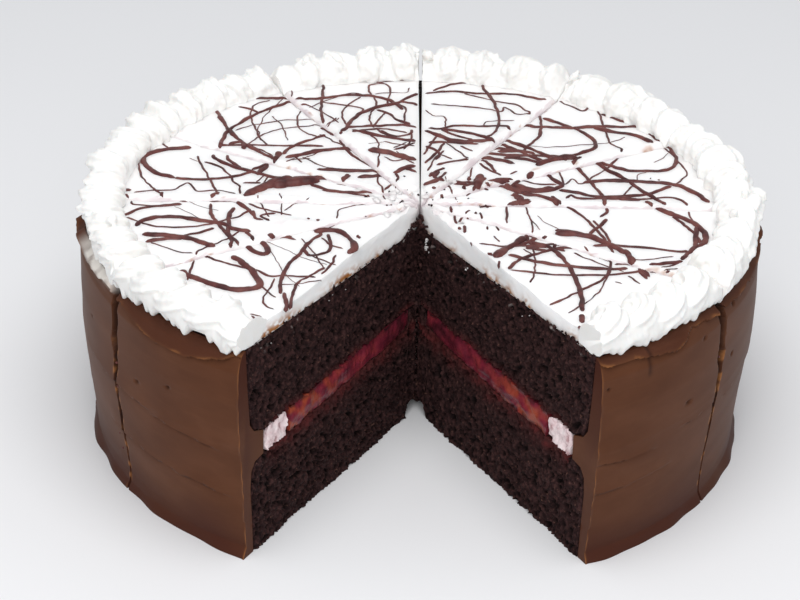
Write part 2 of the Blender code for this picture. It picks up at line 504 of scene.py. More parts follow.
def crumb_relief(seed, juice_levels):
    """Relief of torn crumb, the juice stain near the heights given, cream flecks, and painted shade in the
    pores.
    """
    tree, sizes = pore_field(seed, 120, 100, 0.26)

    def relief(radius, height):
        below_cream = height - read_off(SPONGE_TOP, radius)
        out = 0.30 * ripples(radius, height, 0, 2.2, seed) + 0.16 * ripples(radius, height, 0, 0.95, seed + 1)
        out += 0.35 * ripples(radius, height, 0, 14, seed + 2)
        out += 0.45 * bell(below_cream, 1.6)
        flat_r, flat_h, sunk = radius.ravel(), height.ravel(), np.zeros(radius.size)
        for k in range(sunk.size):
            for _, index, away in tree.find_n((flat_r[k], flat_h[k] * 1.15, 0), 3):
                size = sizes[index]
                if away < size:
                    sunk[k] = max(sunk[k], 1.25 * size * (1 - (away / size) ** 3))
        sunk = sunk.reshape(radius.shape)
        out = out - sunk
        juice = sum(bell(height - level, spread) for level, spread in juice_levels)
        patchy = 0.35 + 0.65 * np.clip(ripples(radius, height, 3, 7, seed + 3), 0, 1)
        juice = juice * patchy * (radius < 104)
        fleck = np.clip(ripples(radius, height, 5, 3.4, seed + 4) - 1.35, 0, 0.35) * 1.5
        fleck = fleck * np.clip(1 - np.abs(below_cream + 1) / 5, 0, 1)
        # The pore mark is painted shade, darker the deeper a pore is sunk.
        return out, {"juice": np.clip(juice, 0, 1), "cream_fleck": np.clip(fleck, 0, 1),
                     "pore": np.clip(sunk - 0.3, 0, 1)}
    return relief


print("pores on one face", len(pore_field(1, 120, 100, 0.26)[1]))

# %% [markdown]
# ## The two sponges beside the opening
# The lower sponge is rounded off at its outer top corner, where coating was pressed in. Its tip has
# crumbled at the foot. The upper sponge meets the whipped cream in a torn, uneven line, so the top row of
# points is pulled up and down and stands a hair in front of the cream.

# %% Open sponges
LOWER_FOOT = ((0, 6.5), (5.2, 4.6), (6.8, 0), (115, 0))
LOWER_TOP = ((0, 45.4), (5.6, 45.3), (6.0, 39.2), (20, 37.3), (60, 35.85), (106, 36.0), (112, 35.3),
             (114.5, 32.5))
UPPER_FOOT = ((0, 45.8), (20, 45.65), (106.4, 46.0), (112.6, 48.6), (115, 52), (118, 52))

for number in OPEN_SLICES:
    lower = open_wedge(f"sponge_lower_{number:02d}_crumb", number, TIP_RADIUS,
                       ((0, 113.2), (0.33, 113.8), (0.72, 114.8), (0.9, 114.2), (1, 112.6)), LOWER_FOOT,
                       LOWER_TOP, crumb_relief(number * 10, ((35.5, 4.5), (36.4, 1.2))), SPONGE, ragged=0.5)
    settle(lower, "dark_sponge", f"sponge_lower_{number:02d}")
    upper = open_wedge(f"sponge_upper_{number:02d}_crumb", number, TIP_RADIUS,
                       ((0, 112.4), (0.12, 115.0), (0.5, 116.4), (1, 117.3)), UPPER_FOOT, SPONGE_TOP,
                       crumb_relief(number * 10 + 5, ((45.5, 2.0),)), SPONGE, ragged=1.0)
    settle(upper, "dark_sponge", f"sponge_upper_{number:02d}")
    print("crumb faces, slice", number, len(lower.data.polygons) + len(upper.data.polygons))

# %% [markdown]
# ## Cherry filling and its ring of cream
# Set gel swells a little where the knife frees it, so its face bulges out of the cut, lumpy and wet, and
# gets crumbs near the tip. The pale ring is piped cream that was cut through: its edge is torn.

# %% Filling faces
def gel_relief(seed):
    """Relief of wet gel. `share` is how far up the filling a point is."""
    def relief(radius, height):
        share = np.clip((height - 36.6) / 8.6, 0, 1)
        out = 0.6 * (1 - (2 * share - 1) ** 2) + 0.40 * ripples(radius, height * 1.4, 0, 9, seed)
        out += 0.12 * ripples(radius, height, 0, 3, seed + 1) - 0.3
        crumbed = np.clip(1.1 - radius / 34, 0, 1)
        crumbed = crumbed * np.clip(0.75 + ripples(radius, height, 2, 6, seed + 2), 0, 1)
        rim = np.clip((np.abs(share - 0.5) - 0.36) * 9, 0, 1)
        rim = rim * (ripples(radius, height, 4, 5, seed + 3) > -0.1)
        # Painted light: orange-red glints, growing towards the gel's outer end.
        gel_glint = np.clip((radius - 46) / 30, 0, 1)
        gel_glint = gel_glint * np.clip(0.25 + ripples(radius, height, 6, 8, seed + 4), 0, 0.8)
        return out, {"crumbed": np.clip(crumbed * 0.9 + rim * 0.7, 0, 1), "thin_gel": gel_glint}
    return relief


def dab_relief(seed):
    """Relief of torn cream: it stands out evenly and is torn inwards."""
    def relief(radius, height):
        tear = np.minimum(ripples(radius, height, 0, 4.5, seed), 0.5)
        return 0.55 * tear + 0.25 * ripples(radius, height, 0, 1.8, seed + 1), {}
    return relief


FILLING_FOOT = ((6.4, 39.6), (20, 37.7), (60, 36.25), (89.4, 36.3), (90.6, 38.0))
FILLING_LID = ((6.2, 45.3), (40, 45.2), (89.0, 45.3), (90.6, 44))
RING_FOOT = ((91, 38), (92.6, 36.4), (105.2, 36.4), (106.4, 38))
RING_LID = ((91, 44), (93.2, 45.5), (104.6, 45.6), (106.4, 44))

for number in OPEN_SLICES:
    gel = open_wedge(f"cherry_filling_{number:02d}_gel", number, 6.3, ((0, 89.4), (0.5, 90.5), (1, 89)),
                     FILLING_FOOT, FILLING_LID, gel_relief(number + 30), CHERRY, ragged=0.3)
    settle(gel, "cherry_filling", f"cherry_filling_{number:02d}")
    dab = open_wedge(f"cream_ring_{number:02d}_torn", number, 91.2, ((0, 104.6), (0.5, 106.2), (1, 104.6)),
                     RING_FOOT, RING_LID, dab_relief(number + 50), FILLING_CREAM, ragged=0.5)
    settle(dab, "filling_cream", f"cream_ring_{number:02d}")
    print("filling faces, slice", number, len(gel.data.polygons) + len(dab.data.polygons))

# %% [markdown]
# ## The level of the whipped cream
# The cream top was smoothed with a long blade, so it is nearly flat with slow swells. Each knife cut then
# pressed a furrow into it and raised a low lip beside it. One function gives this level for any x and y,
# and the cream, the drizzle and the crumbs all ask it, so they lie on each other without gaps.

# %% Top level
# Low heaps of cream, as x, y, half width, half depth and height in mm, from the cake's middle.
MOUNDS = ((-44, -19, 5.0, 4.0, 1.3), (26, 8, 3.2, 3.6, 1.5), (27, -13, 3, 9, 0.5), (-13, -4, 6, 4, 0.5))


def top_height(x, y):
    """Height in mm of the cream's upper face at places x, y in the cake's frame."""
    x, y = np.asarray(x, float), np.asarray(y, float)
    away, from_axis = to_cut(x, y)
    level = TOP_LEVEL + 0.28 * ripples(x, y, 0, 62, 3) + 0.10 * ripples(x, y, 0, 15, 4)
    width = 1.35 + 0.35 * ripples(x, y, 2, 16, 5)
    level = level - 1.45 * bell(away, width) + 0.34 * bell(away - 3.0, 1.3)
    level = level + 0.22 * ripples(x, y, 7, 3.2, 6) * bell(away, 3.2)
    level = level + 0.85 * ripples(x, y, 9, 3.8, 12) * bell(from_axis, 15)
    for mx, my, wide, deep, high in MOUNDS:
        level = level + high * np.exp(-((x - AXIS[0] - mx) / wide) ** 2 - ((y - AXIS[1] - my) / deep) ** 2)
    return level


def clustered(span, count):
    """Turns from 0 to span, close together by both cuts and wider apart between them."""
    return span * (0.5 - 0.5 * np.cos(np.linspace(0, math.pi, count)))


print("cream level at the middle in mm", round(float(top_height(*AXIS)), 1))

# %% Marks on the cream
# Smears of pink, and patches of painted shade on the mound and round the middle, as x, y, half width,
# half depth and strength; spots of crumb as x, y and size.
PINK_SMEARS_AND_SHADE = ((-46, -20, 8, 4, 0.4), (5, -8, 8, 6, 0.55), (-7, -4, 6, 5, 0.5), (24, 2, 6, 4, 0.4),
          (12, -18, 5, 9, 0.3), (-16, 4, 5, 8, 0.35), (86, 50, 4, 2.5, 0.6))
BROWN_SPOTS = ((86.5, 51, 1.3), (84.5, 49.5, 0.7), (43, 30, 1.0), (41, 28, 0.7), (-41, 23.5, 0.9),
               (-49, 28, 0.7), (82, -47, 1.0), (84.5, -49, 0.8), (87, -50.5, 0.9), (79, -46.5, 0.8),
               (-37, 22, 0.6), (58, 36, 0.6))


def cream_marks(x, y):
    """How pink and how crumb-stained the cream is: the knife smears both along its cuts. Patches of painted
    shade lie on the mound and round the middle.
    """
    away, _ = to_cut(x, y)
    wide = 1.3 + 0.4 * ripples(x, y, 1, 20, 8) + 0.3 * ripples(x, y, 4, 3, 11)
    band = np.clip((wide - away) / 0.3, 0, 1)
    blush = band * np.clip(0.7 + 0.4 * ripples(x, y, 3, 7, 9), 0.15, 1)
    stain = band * np.clip(2 * ripples(x, y, 5, 3, 10) - 2.4, 0, 0.6)
    px, py = np.asarray(x) - AXIS[0], np.asarray(y) - AXIS[1]
    for mx, my, wide_x, wide_y, much in PINK_SMEARS_AND_SHADE:
        patch = np.exp(-((px - mx) / wide_x) ** 2 - ((py - my) / wide_y) ** 2)
        blush = np.maximum(blush, much * patch * np.clip(0.6 + 0.8 * ripples(x, y, 8, 5, 14), 0, 1.2))
    for mx, my, size in BROWN_SPOTS:
        stain = np.maximum(stain, 0.8 * np.exp(-((px - mx) ** 2 + (py - my) ** 2) / size ** 2))
    return blush, stain


print("smears", len(PINK_SMEARS_AND_SHADE), "spots", len(BROWN_SPOTS))

# %% [markdown]
# ## The smooth cream sheet
# Each slice carries its own piece of the sheet. Rows of points run from the tip to the rim and columns run
# from cut to cut, close together by the cuts, where the furrow needs them. The two slices at the opening
# show their cut as a face, dragged by the knife and spotted with crumb, so it gets a fine grid.

# %% Cream sheets
def cut_cream_face(seed, stains):
    """Relief of cream dragged by the knife, with its stains of crumb along the sponge."""
    def relief(radius, height):
        out = 0.18 * ripples(radius, height * 2.2, 0, 22, seed)
        out = out + 0.07 * ripples(radius, height * 1.6, 0, 5, seed + 1)
        out = out * np.clip((103 - radius) / 5, 0, 1) - 0.3 * np.clip((radius - 101) / 5, 0, 1) - 0.15
        low = height - read_off(SPONGE_TOP, radius)
        spot = np.zeros_like(radius)
        uneven = np.clip(1.2 + 2.5 * ripples(radius, height * 1.6, 3, 4.4, seed + 2), 0, 1.3)
        for place, wide, strength in stains:
            spot += strength * (bell(radius - place, wide) * bell(low, 2.8)) * uneven
        spot += 0.8 * bell(low, 0.9) * np.clip(2.5 * ripples(radius, height, 3, 5.5, seed + 3), 0, 1)
        return out, {"crumb_stain": np.clip(spot, 0, 1), "blush": np.zeros_like(radius)}
    return relief


# Stains on the two cut faces: how far out, how wide and how strong.
STAINS = {10: ((54, 12, 1.0), (94, 9, 0.9), (30, 5, 0.4), (104, 4, 0.8)),
          1: ((24, 2, 0.6), (45, 2, 0.7), (52, 3, 0.8), (61, 2.5, 0.7), (73, 2.5, 0.8), (103, 3, 0.7))}
SHEET_EDGE = 112.5
SHEET_FOOT = ((TIP_RADIUS, 76.6), (SHEET_EDGE, read_off(SPONGE_TOP, SHEET_EDGE) + 0.1))
SHEET_ROWS, SHEET_COLUMNS = 76, 44


def open_sheet(name, number):
    """A sheet with its cut face. Its upper side gets the same marks as the other sheets."""
    sheet = open_wedge(name, number, TIP_RADIUS, ((0, SHEET_EDGE), (1, SHEET_EDGE)), SHEET_FOOT,
                       ((0, TOP_LEVEL), (120, TOP_LEVEL)), cut_cream_face(number + 70, STAINS[number]),
                       CREAM, step=0.5, lid=top_height, shares=clustered(1.0, SHEET_COLUMNS)[1:])
    flat = np.array([v.co for v in sheet.data.vertices]) / MM
    on_top = np.abs(flat[:, 2] - top_height(flat[:, 0], flat[:, 1])) < 0.02
    for mark, values in zip(("blush", "crumb_stain"), cream_marks(flat[:, 0], flat[:, 1])):
        layer, old = sheet.data.attributes[mark].data, np.empty(len(flat), np.float32)
        layer.foreach_get("value", old)
        layer.foreach_set("value", np.where(on_top, np.maximum(old, values), old).astype(np.float32))
    return sheet


def closed_sheet(name, number):
    """A sheet between two closed cuts: a grid of rows and columns on top, and a flat foot."""
    start, end = slice_span(number)
    rows, turns = np.linspace(TIP_RADIUS, SHEET_EDGE, SHEET_ROWS), clustered(end - start, SHEET_COLUMNS)
    outline = np.concatenate([np.stack([rows, rows], 1), [[SHEET_EDGE, 0], [TIP_RADIUS, 0]]])
    points = swept_points(number, outline, turns)
    points[:, :-2, 2] = top_height(points[:, :-2, 0], points[:, :-2, 1])
    points[:, -2, 2], points[:, -1, 2] = SHEET_FOOT[1][1], SHEET_FOOT[0][1]
    sheet = make_piece(name, points, ring_faces(len(turns), len(outline)), CREAM, sharp=50)
    blush, stain = cream_marks(*points.reshape(-1, 3).T[:2])
    store(sheet, "blush", blush)
    store(sheet, "crumb_stain", stain)
    return sheet


for number in SLICES:
    kind = open_sheet if number in OPEN_SLICES else closed_sheet
    sheet = kind(f"cream_sheet_{number:02d}", number)
    settle(sheet, "whipped_cream", f"cream_top_{number:02d}")
    print("cream sheet", number, "points", len(sheet.data.vertices))

# %% [markdown]
# ## The piped rope on the rim
# A star nozzle lays a ridged strand in overlapping loops, and each loop shows as a lobe. The strand is
# a star-shaped tube swept along a coil that travels round the rim. Loops that cross each other can't be
# skinned by hand, so strand and base are fused by Remesh, as soft cream fuses. Then the knife's planes cut
# the rope into slices. Every slice has its own pitch, lean and size, as a hand makes it.

# %% The ridged strand
ROPE_RADIUS, ROPE_HEIGHT = 113.5, 89.4


def strand_mesh(path, half_width, ridges, depth, twist):
    """Vertices and faces of a closed star-section tube along `path`, in mm."""
    path = np.asarray(path)
    ahead = np.gradient(path, axis=0)
    ahead /= np.linalg.norm(ahead, axis=1)[:, None]
    side = np.cross(ahead[0], (0, 0, 1.0))
    rings = []
    around = np.linspace(0, 2 * math.pi, ridges * 8, endpoint=False)
    for k, (place, way) in enumerate(zip(path, ahead)):
        side = side - way * np.dot(side, way)
        side /= np.linalg.norm(side)
        up = np.cross(way, side)
        phase = around + twist * k / len(path)
        star = 1 - depth + depth * (0.5 + 0.5 * np.cos(ridges * around)) ** 1.3
        taper = min(1, 0.35 + 0.18 * min(k, len(path) - 1 - k))
        spoke = half_width[k] * taper * star
        rings.append(place + spoke[:, None] * (np.cos(phase)[:, None] * side + np.sin(phase)[:, None] * up))
    faces = ring_faces(len(rings), len(around))
    return np.concatenate(rings), faces


def coil_path(number, loops, lean, swing, rise, shift, seed):
    """A hand's path with the nozzle round one slice's rim, with a loop to spare at both ends."""
    start, end = slice_span(number)
    rng = np.random.default_rng(seed)
    spare, steps = 0.9, 40
    t = np.linspace(-spare, loops + spare, int((loops + 2 * spare) * steps))
    half_loops, whole_loops = np.arange(-1, loops + 2.1, 0.5), np.arange(-1, loops + 2.1)
    wander = np.interp(t, half_loops, rng.normal(0, 0.45, len(half_loops)))
    size = np.interp(t, whole_loops, rng.uniform(0.66, 1.2, len(whole_loops)))
    uneven = np.interp(t, whole_loops, rng.uniform(-0.22, 0.22, len(whole_loops)))
    lift = np.interp(t, whole_loops, rng.uniform(-0.9, 0.9, len(whole_loops)))
    turn = ((t + uneven) / loops) * (end - start)
    radius = ROPE_RADIUS + shift + wander + swing * size * np.cos(2 * math.pi * t)
    height = ROPE_HEIGHT + lift + rise * size * np.sin(2 * math.pi * t) + 0.4 * wander
    along = lean * np.sin(2 * math.pi * t + 0.6)
    x, y = slice_xy(number, radius, turn + along / ROPE_RADIUS)
    return np.stack([x, y, height], -1)


# %% Fuse and cut
def fuse(meshes, voxel, name):
    """One closed skin round several overlapping closed meshes."""
    points, faces = joined(meshes)
    mesh = bpy.data.meshes.new(name)
    mesh.from_pydata((points * MM).tolist(), [], faces)
    holder = bpy.data.objects.new(name, mesh)
    bpy.context.scene.collection.objects.link(holder)
    fuser = holder.modifiers.new("fuse", "REMESH")
    fuser.mode, fuser.voxel_size = "VOXEL", voxel * MM
    soft = holder.modifiers.new("soften", "SMOOTH")
    soft.factor, soft.iterations = 0.5, 2
    graph = bpy.context.evaluated_depsgraph_get()
    skin = bmesh.new()
    skin.from_object(holder, graph)
    bpy.data.objects.remove(holder)
    bpy.data.meshes.remove(mesh)
    return skin


def knife(skin, number):
    """Cut a skin at both of a slice's cut planes and close it there."""
    start, end = slice_span(number)
    tip = Vector((*slice_xy(number, 0.0, 0.0), 0)) * MM
    for turn, sign in ((start, -1), (end, 1)):
        outward = Vector((-math.sin(turn), math.cos(turn), 0)) * sign
        cut = bmesh.ops.bisect_plane(skin, geom=skin.verts[:] + skin.edges[:] + skin.faces[:], dist=1e-6,
                                     plane_co=tip, plane_no=outward, clear_outer=True)
        edges = [e for e in cut["geom_cut"] if isinstance(e, bmesh.types.BMEdge)]
        bmesh.ops.holes_fill(skin, edges=edges, sides=0)

# %% [markdown]
# ## One rope for each slice
# The table is the baker's hand, slice by slice: how many loops, how far they lean along the rim, how wide
# and high they swing, how thick the strand is and how deep its ridges. Near a closed cut the knife pressed
# the rope down, so points there sink into a notch.

# %% The hand in figures
ROPE_HAND = {  # slice: loops, lean, swing, rise, outward shift, half width, ridges, depth, twist, roughness
    1: (4.1, 3.0, 3.4, 3.0, 0.0, 5.2, 7, 0.24, 1.5, 0.7),
    2: (4.3, 3.0, 3.6, 2.9, 0.4, 5.3, 6, 0.20, 2.0, 1.0),
    3: (4.4, 3.2, 3.6, 2.7, 0.4, 5.4, 6, 0.20, 2.0, 1.2),
    4: (4.2, 2.8, 3.4, 2.6, 0.0, 5.6, 6, 0.18, 1.0, 1.2),
    5: (4.0, 2.6, 3.3, 2.5, 0.0, 5.8, 6, 0.16, 1.0, 1.2),
    6: (4.2, 2.8, 3.3, 2.5, 0.0, 5.7, 6, 0.18, -1.0, 1.3),
    7: (4.6, 2.8, 3.8, 2.6, 0.4, 5.2, 7, 0.24, -1.0, 1.0),
    8: (4.8, 3.4, 4.3, 2.3, 1.0, 5.0, 8, 0.24, 0.8, 0.5),
    9: (4.8, 3.6, 4.3, 2.3, 0.9, 5.0, 8, 0.23, 0.8, 0.5),
    10: (4.4, 3.6, 4.9, 2.2, 0.5, 4.9, 8, 0.25, 0.8, 0.5)}
CORE = ((106.6, 82.6), (112, 81.6), (117.2, 82.0), (119.6, 82.2), (121.0, 85), (120.4, 89), (117.6, 92.4),
        (114, 93.2), (110.2, 92.4), (107.4, 89.6), (106.4, 86.4))
print("loops in all", round(sum(hand[0] for hand in ROPE_HAND.values()), 1))


# %% Tips and a dab
def pulled_tip(number, rng):
    """A small peak left where the star nozzle broke away, as a short pointed cone in the rope's skin."""
    start, end = slice_span(number)
    lean = rng.uniform(-0.5, 0.9)
    radius, height = 113.6 + 7.3 * math.sin(lean), 89.3 + 7.0 * math.cos(lean)
    turn = rng.uniform(0.02, end - start - 0.02)
    x, y = slice_xy(number, radius, turn)
    way = Vector((math.cos(start + turn) * math.sin(lean), math.sin(start + turn) * math.sin(lean),
                  math.cos(lean)))
    way = (way + Vector(rng.normal(0, 0.45, 3))).normalized()
    side = way.orthogonal().normalized()
    other = way.cross(side)
    long, wide = rng.uniform(0.6, 1.7), rng.uniform(1.0, 2.0)
    rings = []
    for along, half in ((-2.5, 1.0), (-0.5, 1.0), (0.5, 0.62), (1.0, 0.22)):
        middle = Vector((x, y, height)) + way * (along * long if along > 0 else along)
        rings += [middle + (side * math.cos(a) + other * math.sin(a)) * wide * half
                  for a in (k * math.pi / 4 for k in range(8))]
    return np.array(rings), ring_faces(4, 8)


def cream_blob():
    """The dab of cream that hangs out over the side at the right."""
    x, y = slice_xy(3, 121.0, math.radians(2.2))
    points = [Vector((x + out, y, 88.6 + 0.3 * out)) + Vector((0, math.cos(a), math.sin(a))) * half
              for out, half in ((-4, 3.2), (-1.5, 3.4), (1.0, 3.6), (2.8, 2.9), (4.2, 1.2))
              for a in (k * math.pi / 5 for k in range(10))]
    return np.array(points), ring_faces(5, 10)


# %% Soften, press and fray the rope
DEEP_NOTCHES = (60.3, 119.7)    # two cuts where the knife sank the rope further
SAG = {1: 1.2, 10: 3.6}         # mm by which the rope sinks towards the opening
RIM_EDGE = 117.5


def soften(skin, number):
    """Round off the rope's lower edge, and on the left side the whole rope a little."""
    low_edge = [v for v in skin.verts if v.co.z < 87 * MM
                and math.hypot(v.co.x / MM - AXIS[0], v.co.y / MM - AXIS[1]) > 116.5]
    for soft_part in [low_edge] * 6 + [skin.verts] * (4 if number > 7 else 0):
        bmesh.ops.smooth_vert(skin, verts=soft_part, factor=0.5,
                              use_axis_x=True, use_axis_y=True, use_axis_z=True)


def press(places, number):
    """Sink the rope at each closed cut, and let it sag towards the opening."""
    away, _ = to_cut(*places.T[:2])
    deep, _ = to_cut(*places.T[:2], DEEP_NOTCHES)
    crown = np.clip((places[:, 2] - 84) / 8, 0, 1)
    places[:, 2] -= crown * (3.2 * bell(away, 2.2) + 2.6 * bell(deep, 3.6))
    if number in OPEN_SLICES:
        _, bearing = from_middle(*places.T[:2])
        from_open = (OPEN_SIDES[0] - bearing) * 2 if number == 10 else (bearing - OPEN_SIDES[1]) * 2
        places[:, 2] -= crown * SAG[number] * bell(np.maximum(from_open, 0), 7)


def roughen(places, outward, number, rough):
    """Move each point in or out along its normal by a small random swell."""
    away, _ = to_cut(*places.T[:2])
    wobble = rough * (0.30 * ripples(*places.T, 6.5, number) + 0.13 * ripples(*places.T, 2.8, number + 9))
    places[:, :2] += outward[:, :2] * wobble[:, None] * (away > 0.5)[:, None]
    places[:, 2] += outward[:, 2] * wobble


def squeeze(places):
    """Draw the rope's lower half in at the far left, where the coating's edge stands up beside it."""
    radius, bearing = from_middle(*places.T[:2])
    tight = (0.3 * bell(bearing - 188, 9, 6) + 0.25 * bell(bearing - 201, 8, 6)) * (places[:, 2] < 91)
    drawn_in = np.where(radius > RIM_EDGE, RIM_EDGE + (radius - RIM_EDGE) * (1 - tight), radius)
    places[:, :2] = (places[:, :2] - AXIS) * drawn_in[:, None] / radius[:, None] + AXIS


def fray(places, number):
    """Let the lower edge hang over the side unevenly."""
    radius, _ = from_middle(*places.T[:2])
    fringe = np.clip((radius - RIM_EDGE) / 2, 0, 1) * np.clip((86.5 - places[:, 2]) / 3, 0, 1)
    arc = np.arctan2(places[:, 1] - AXIS[1], places[:, 0] - AXIS[0]) * SIDE_RADIUS
    ragged = np.maximum(0.8 * ripples(arc, 0, 0, 10, 60) + 0.5 * ripples(arc, 0, 0, 3.6, 61), -0.4)
    places[:, 2] -= fringe * (3.0 if number in (9, 10) else 1.3) * ragged
    places[:, 2] = np.maximum(places[:, 2], 80.0)


# %% Pipe the ropes
def pipe_rope(number):
    """Points and faces of one slice's rope."""
    loops, lean, swing, rise, shift, thick, ridges, depth, twist, rough = ROPE_HAND[number]
    start, end = slice_span(number)
    path = coil_path(number, loops, lean, swing, rise, shift, 100 + number)
    rng = np.random.default_rng(number)
    swell = np.sin(np.linspace(0, 2 * math.pi * loops, len(path)) + rng.uniform(0, 6))
    strand = strand_mesh(path, thick * (1 + 0.06 * swell), ridges, depth, twist * loops)
    outline = np.array(CORE) + (0.8 * shift, 0)
    core = swept_points(number, outline, np.linspace(-0.05, end - start + 0.05, 30)).reshape(-1, 3)
    tips = [pulled_tip(number, rng) for _ in range(3 if number < 8 else 1)]
    if number == 3:
        tips.append(cream_blob())
    skin = fuse([strand, (core, ring_faces(30, len(CORE))), *tips], 0.55, "rope")
    knife(skin, number)
    soften(skin, number)
    places = np.array([v.co for v in skin.verts]) / MM
    outward = np.array([v.normal for v in skin.verts])
    faces = [[v.index for v in f.verts] for f in skin.faces]
    skin.free()
    press(places, number)
    roughen(places, outward, number, rough)
    squeeze(places)
    fray(places, number)
    return places, faces


for number in SLICES:
    places, faces = pipe_rope(number)
    rope = make_piece(f"piped_rim_{number:02d}", places, faces, PIPED_CREAM, sharp=60)
    blush, stain = cream_marks(places[:, 0], places[:, 1])
    store(rope, "blush", blush * 0.15)
    store(rope, "crumb_stain", stain * 0.1)
    settle(rope, "whipped_cream", f"cream_top_{number:02d}")
    print("rope", number, "faces", len(faces), "top mm", round(float(places[:, 2].max()), 1))

# %% [markdown]
# ## The chocolate coating
# The side was coated with a palette knife held upright while the cake turned. It left broad waves, a step
# where two strokes overlap, small pits of trapped air, a rolled ledge below the cream and an uneven foot.
# At each closed cut the knife dragged the coating apart. The outline is carried round in fine steps and
# each of these marks moves the outer skin by a millimetre or so.

# %% Coating outline and marks
# Outlines are (radius, height) in mm. Directions are in degrees, heights and sizes in mm.
SIDE = ((118.7, 0), (118.5, 1.2), (117.5, 4), (118.4, 14), (120.2, 30), (121.9, 46), (122.3, 62),
        (122.1, 74.5), (120.9, 79.2), (118.8, 81.3), (117.75, 81.5))
BACK_OF_SIDE = ((116.8, 66), (115.4, 51.7), (112.8, 48.1), (106.8, 45.7), (106.8, 36.35), (112.2, 35.7),
                (114.6, 32.7), (115.15, 26), (114.15, 12), (113.55, 0))
PITS = (  # direction, height, size
    (217.5, 52.5, 1.1), (226, 58.5, 0.9), (319.5, 51.8, 1.2), (334, 56.7, 1.0), (333.5, 77, 1.0),
    (323, 73.8, 0.9), (301, 70.8, 0.8), (200, 60, 0.8), (20, 55, 1.0), (75, 40, 0.9), (130, 62, 1.1),
    (160, 50, 0.9))
LEDGE = (  # direction, height of the rolled ledge
    (0, 79), (30, 78), (60, 80), (90, 78), (120, 79), (150, 77), (181, 79), (200, 78.5), (213, 79.3),
    (222, 74.6), (230, 74.4), (240, 80), (260, 80), (300, 80), (309, 78), (316, 76.6), (320, 80), (329, 79),
    (345, 78), (360, 79))
STROKES = (  # direction where a stroke starts and ends, height at both, depth of the step
    (193, 221, 45.3, 44.5, 0.55), (221, 237, 43.0, 42.0, 0.6), (205, 239, 24.6, 24.2, 0.5),
    (299, 313, 41.2, 38.8, 0.6), (318, 330, 42.6, 42.8, 0.5), (299, 318, 28.8, 28.4, 0.35),
    (332, 358, 41, 40, 0.5), (5, 85, 43, 40, 0.5), (95, 180, 41, 44, 0.5), (10, 60, 22, 25, 0.4),
    (120, 170, 25, 22, 0.4))
# Half the width of the two widest closed cuts, and of a plain one, by height.
CRACKS = {-30.8: ((0, 0.15), (24, 0.3), (37, 0.6), (49, 1.0), (61, 1.7), (80, 2.0)),
          210.5: ((0, 0.15), (24, 0.45), (49, 0.8), (60, 1.4), (79, 1.9))}
PLAIN_CRACK = ((0, 0.2), (40, 0.6), (80, 1.2))
print("pits", len(PITS), "strokes", len(STROKES))


# %% Where the blade and the knife went
def coat_span(number):
    """Start and end of a coating: at the open back cut the coating still meets itself below the cream."""
    start, end = slice_span(number)
    close_by = math.radians(OPEN_BY + 0.07)
    return start - close_by * (number == 6), end + close_by * (number == 5)


def crack_width(cut, hand, height):
    """Half the width of a dragged cut, wider on one side or the other so that it wanders."""
    wide = read_off(CRACKS.get(cut, PLAIN_CRACK), height)
    wander = 1 + 0.3 * ripples(0, height, 0, 9, 26) + 0.45 * hand * ripples(3, height, 0, 13, 29)
    return wide * np.clip(wander, 0.2, 2)


def both_cuts(number, turn):
    """A slice's two cuts: direction, distance in mm of each point, and which hand the cut is on."""
    start, end = coat_span(number)
    return ((CUTS[number - 1], turn * SIDE_RADIUS, 1),
            (CUTS[number], ((end - start) - turn) * SIDE_RADIUS, -1))


def blade_strokes(degrees, arc, height):
    """For each stroke: its depth, how far above it a point is, and how fully the point lies along it."""
    for a, b, low_a, low_b, depth in STROKES:
        line = low_a + (low_b - low_a) * (degrees - a) / (b - a) + 0.5 * ripples(arc, 0, 3, 13, int(a))
        inside = np.clip((degrees - a) / 2.5, 0, 1) * np.clip((b - degrees) / 2.5, 0, 1)
        yield depth, height - line, inside


def above_ledge(degrees, arc, height):
    """How far a point is above the rolled ledge."""
    return height - (read_off(LEDGE, degrees) + 0.6 * ripples(arc, 0, 1, 9, 24))


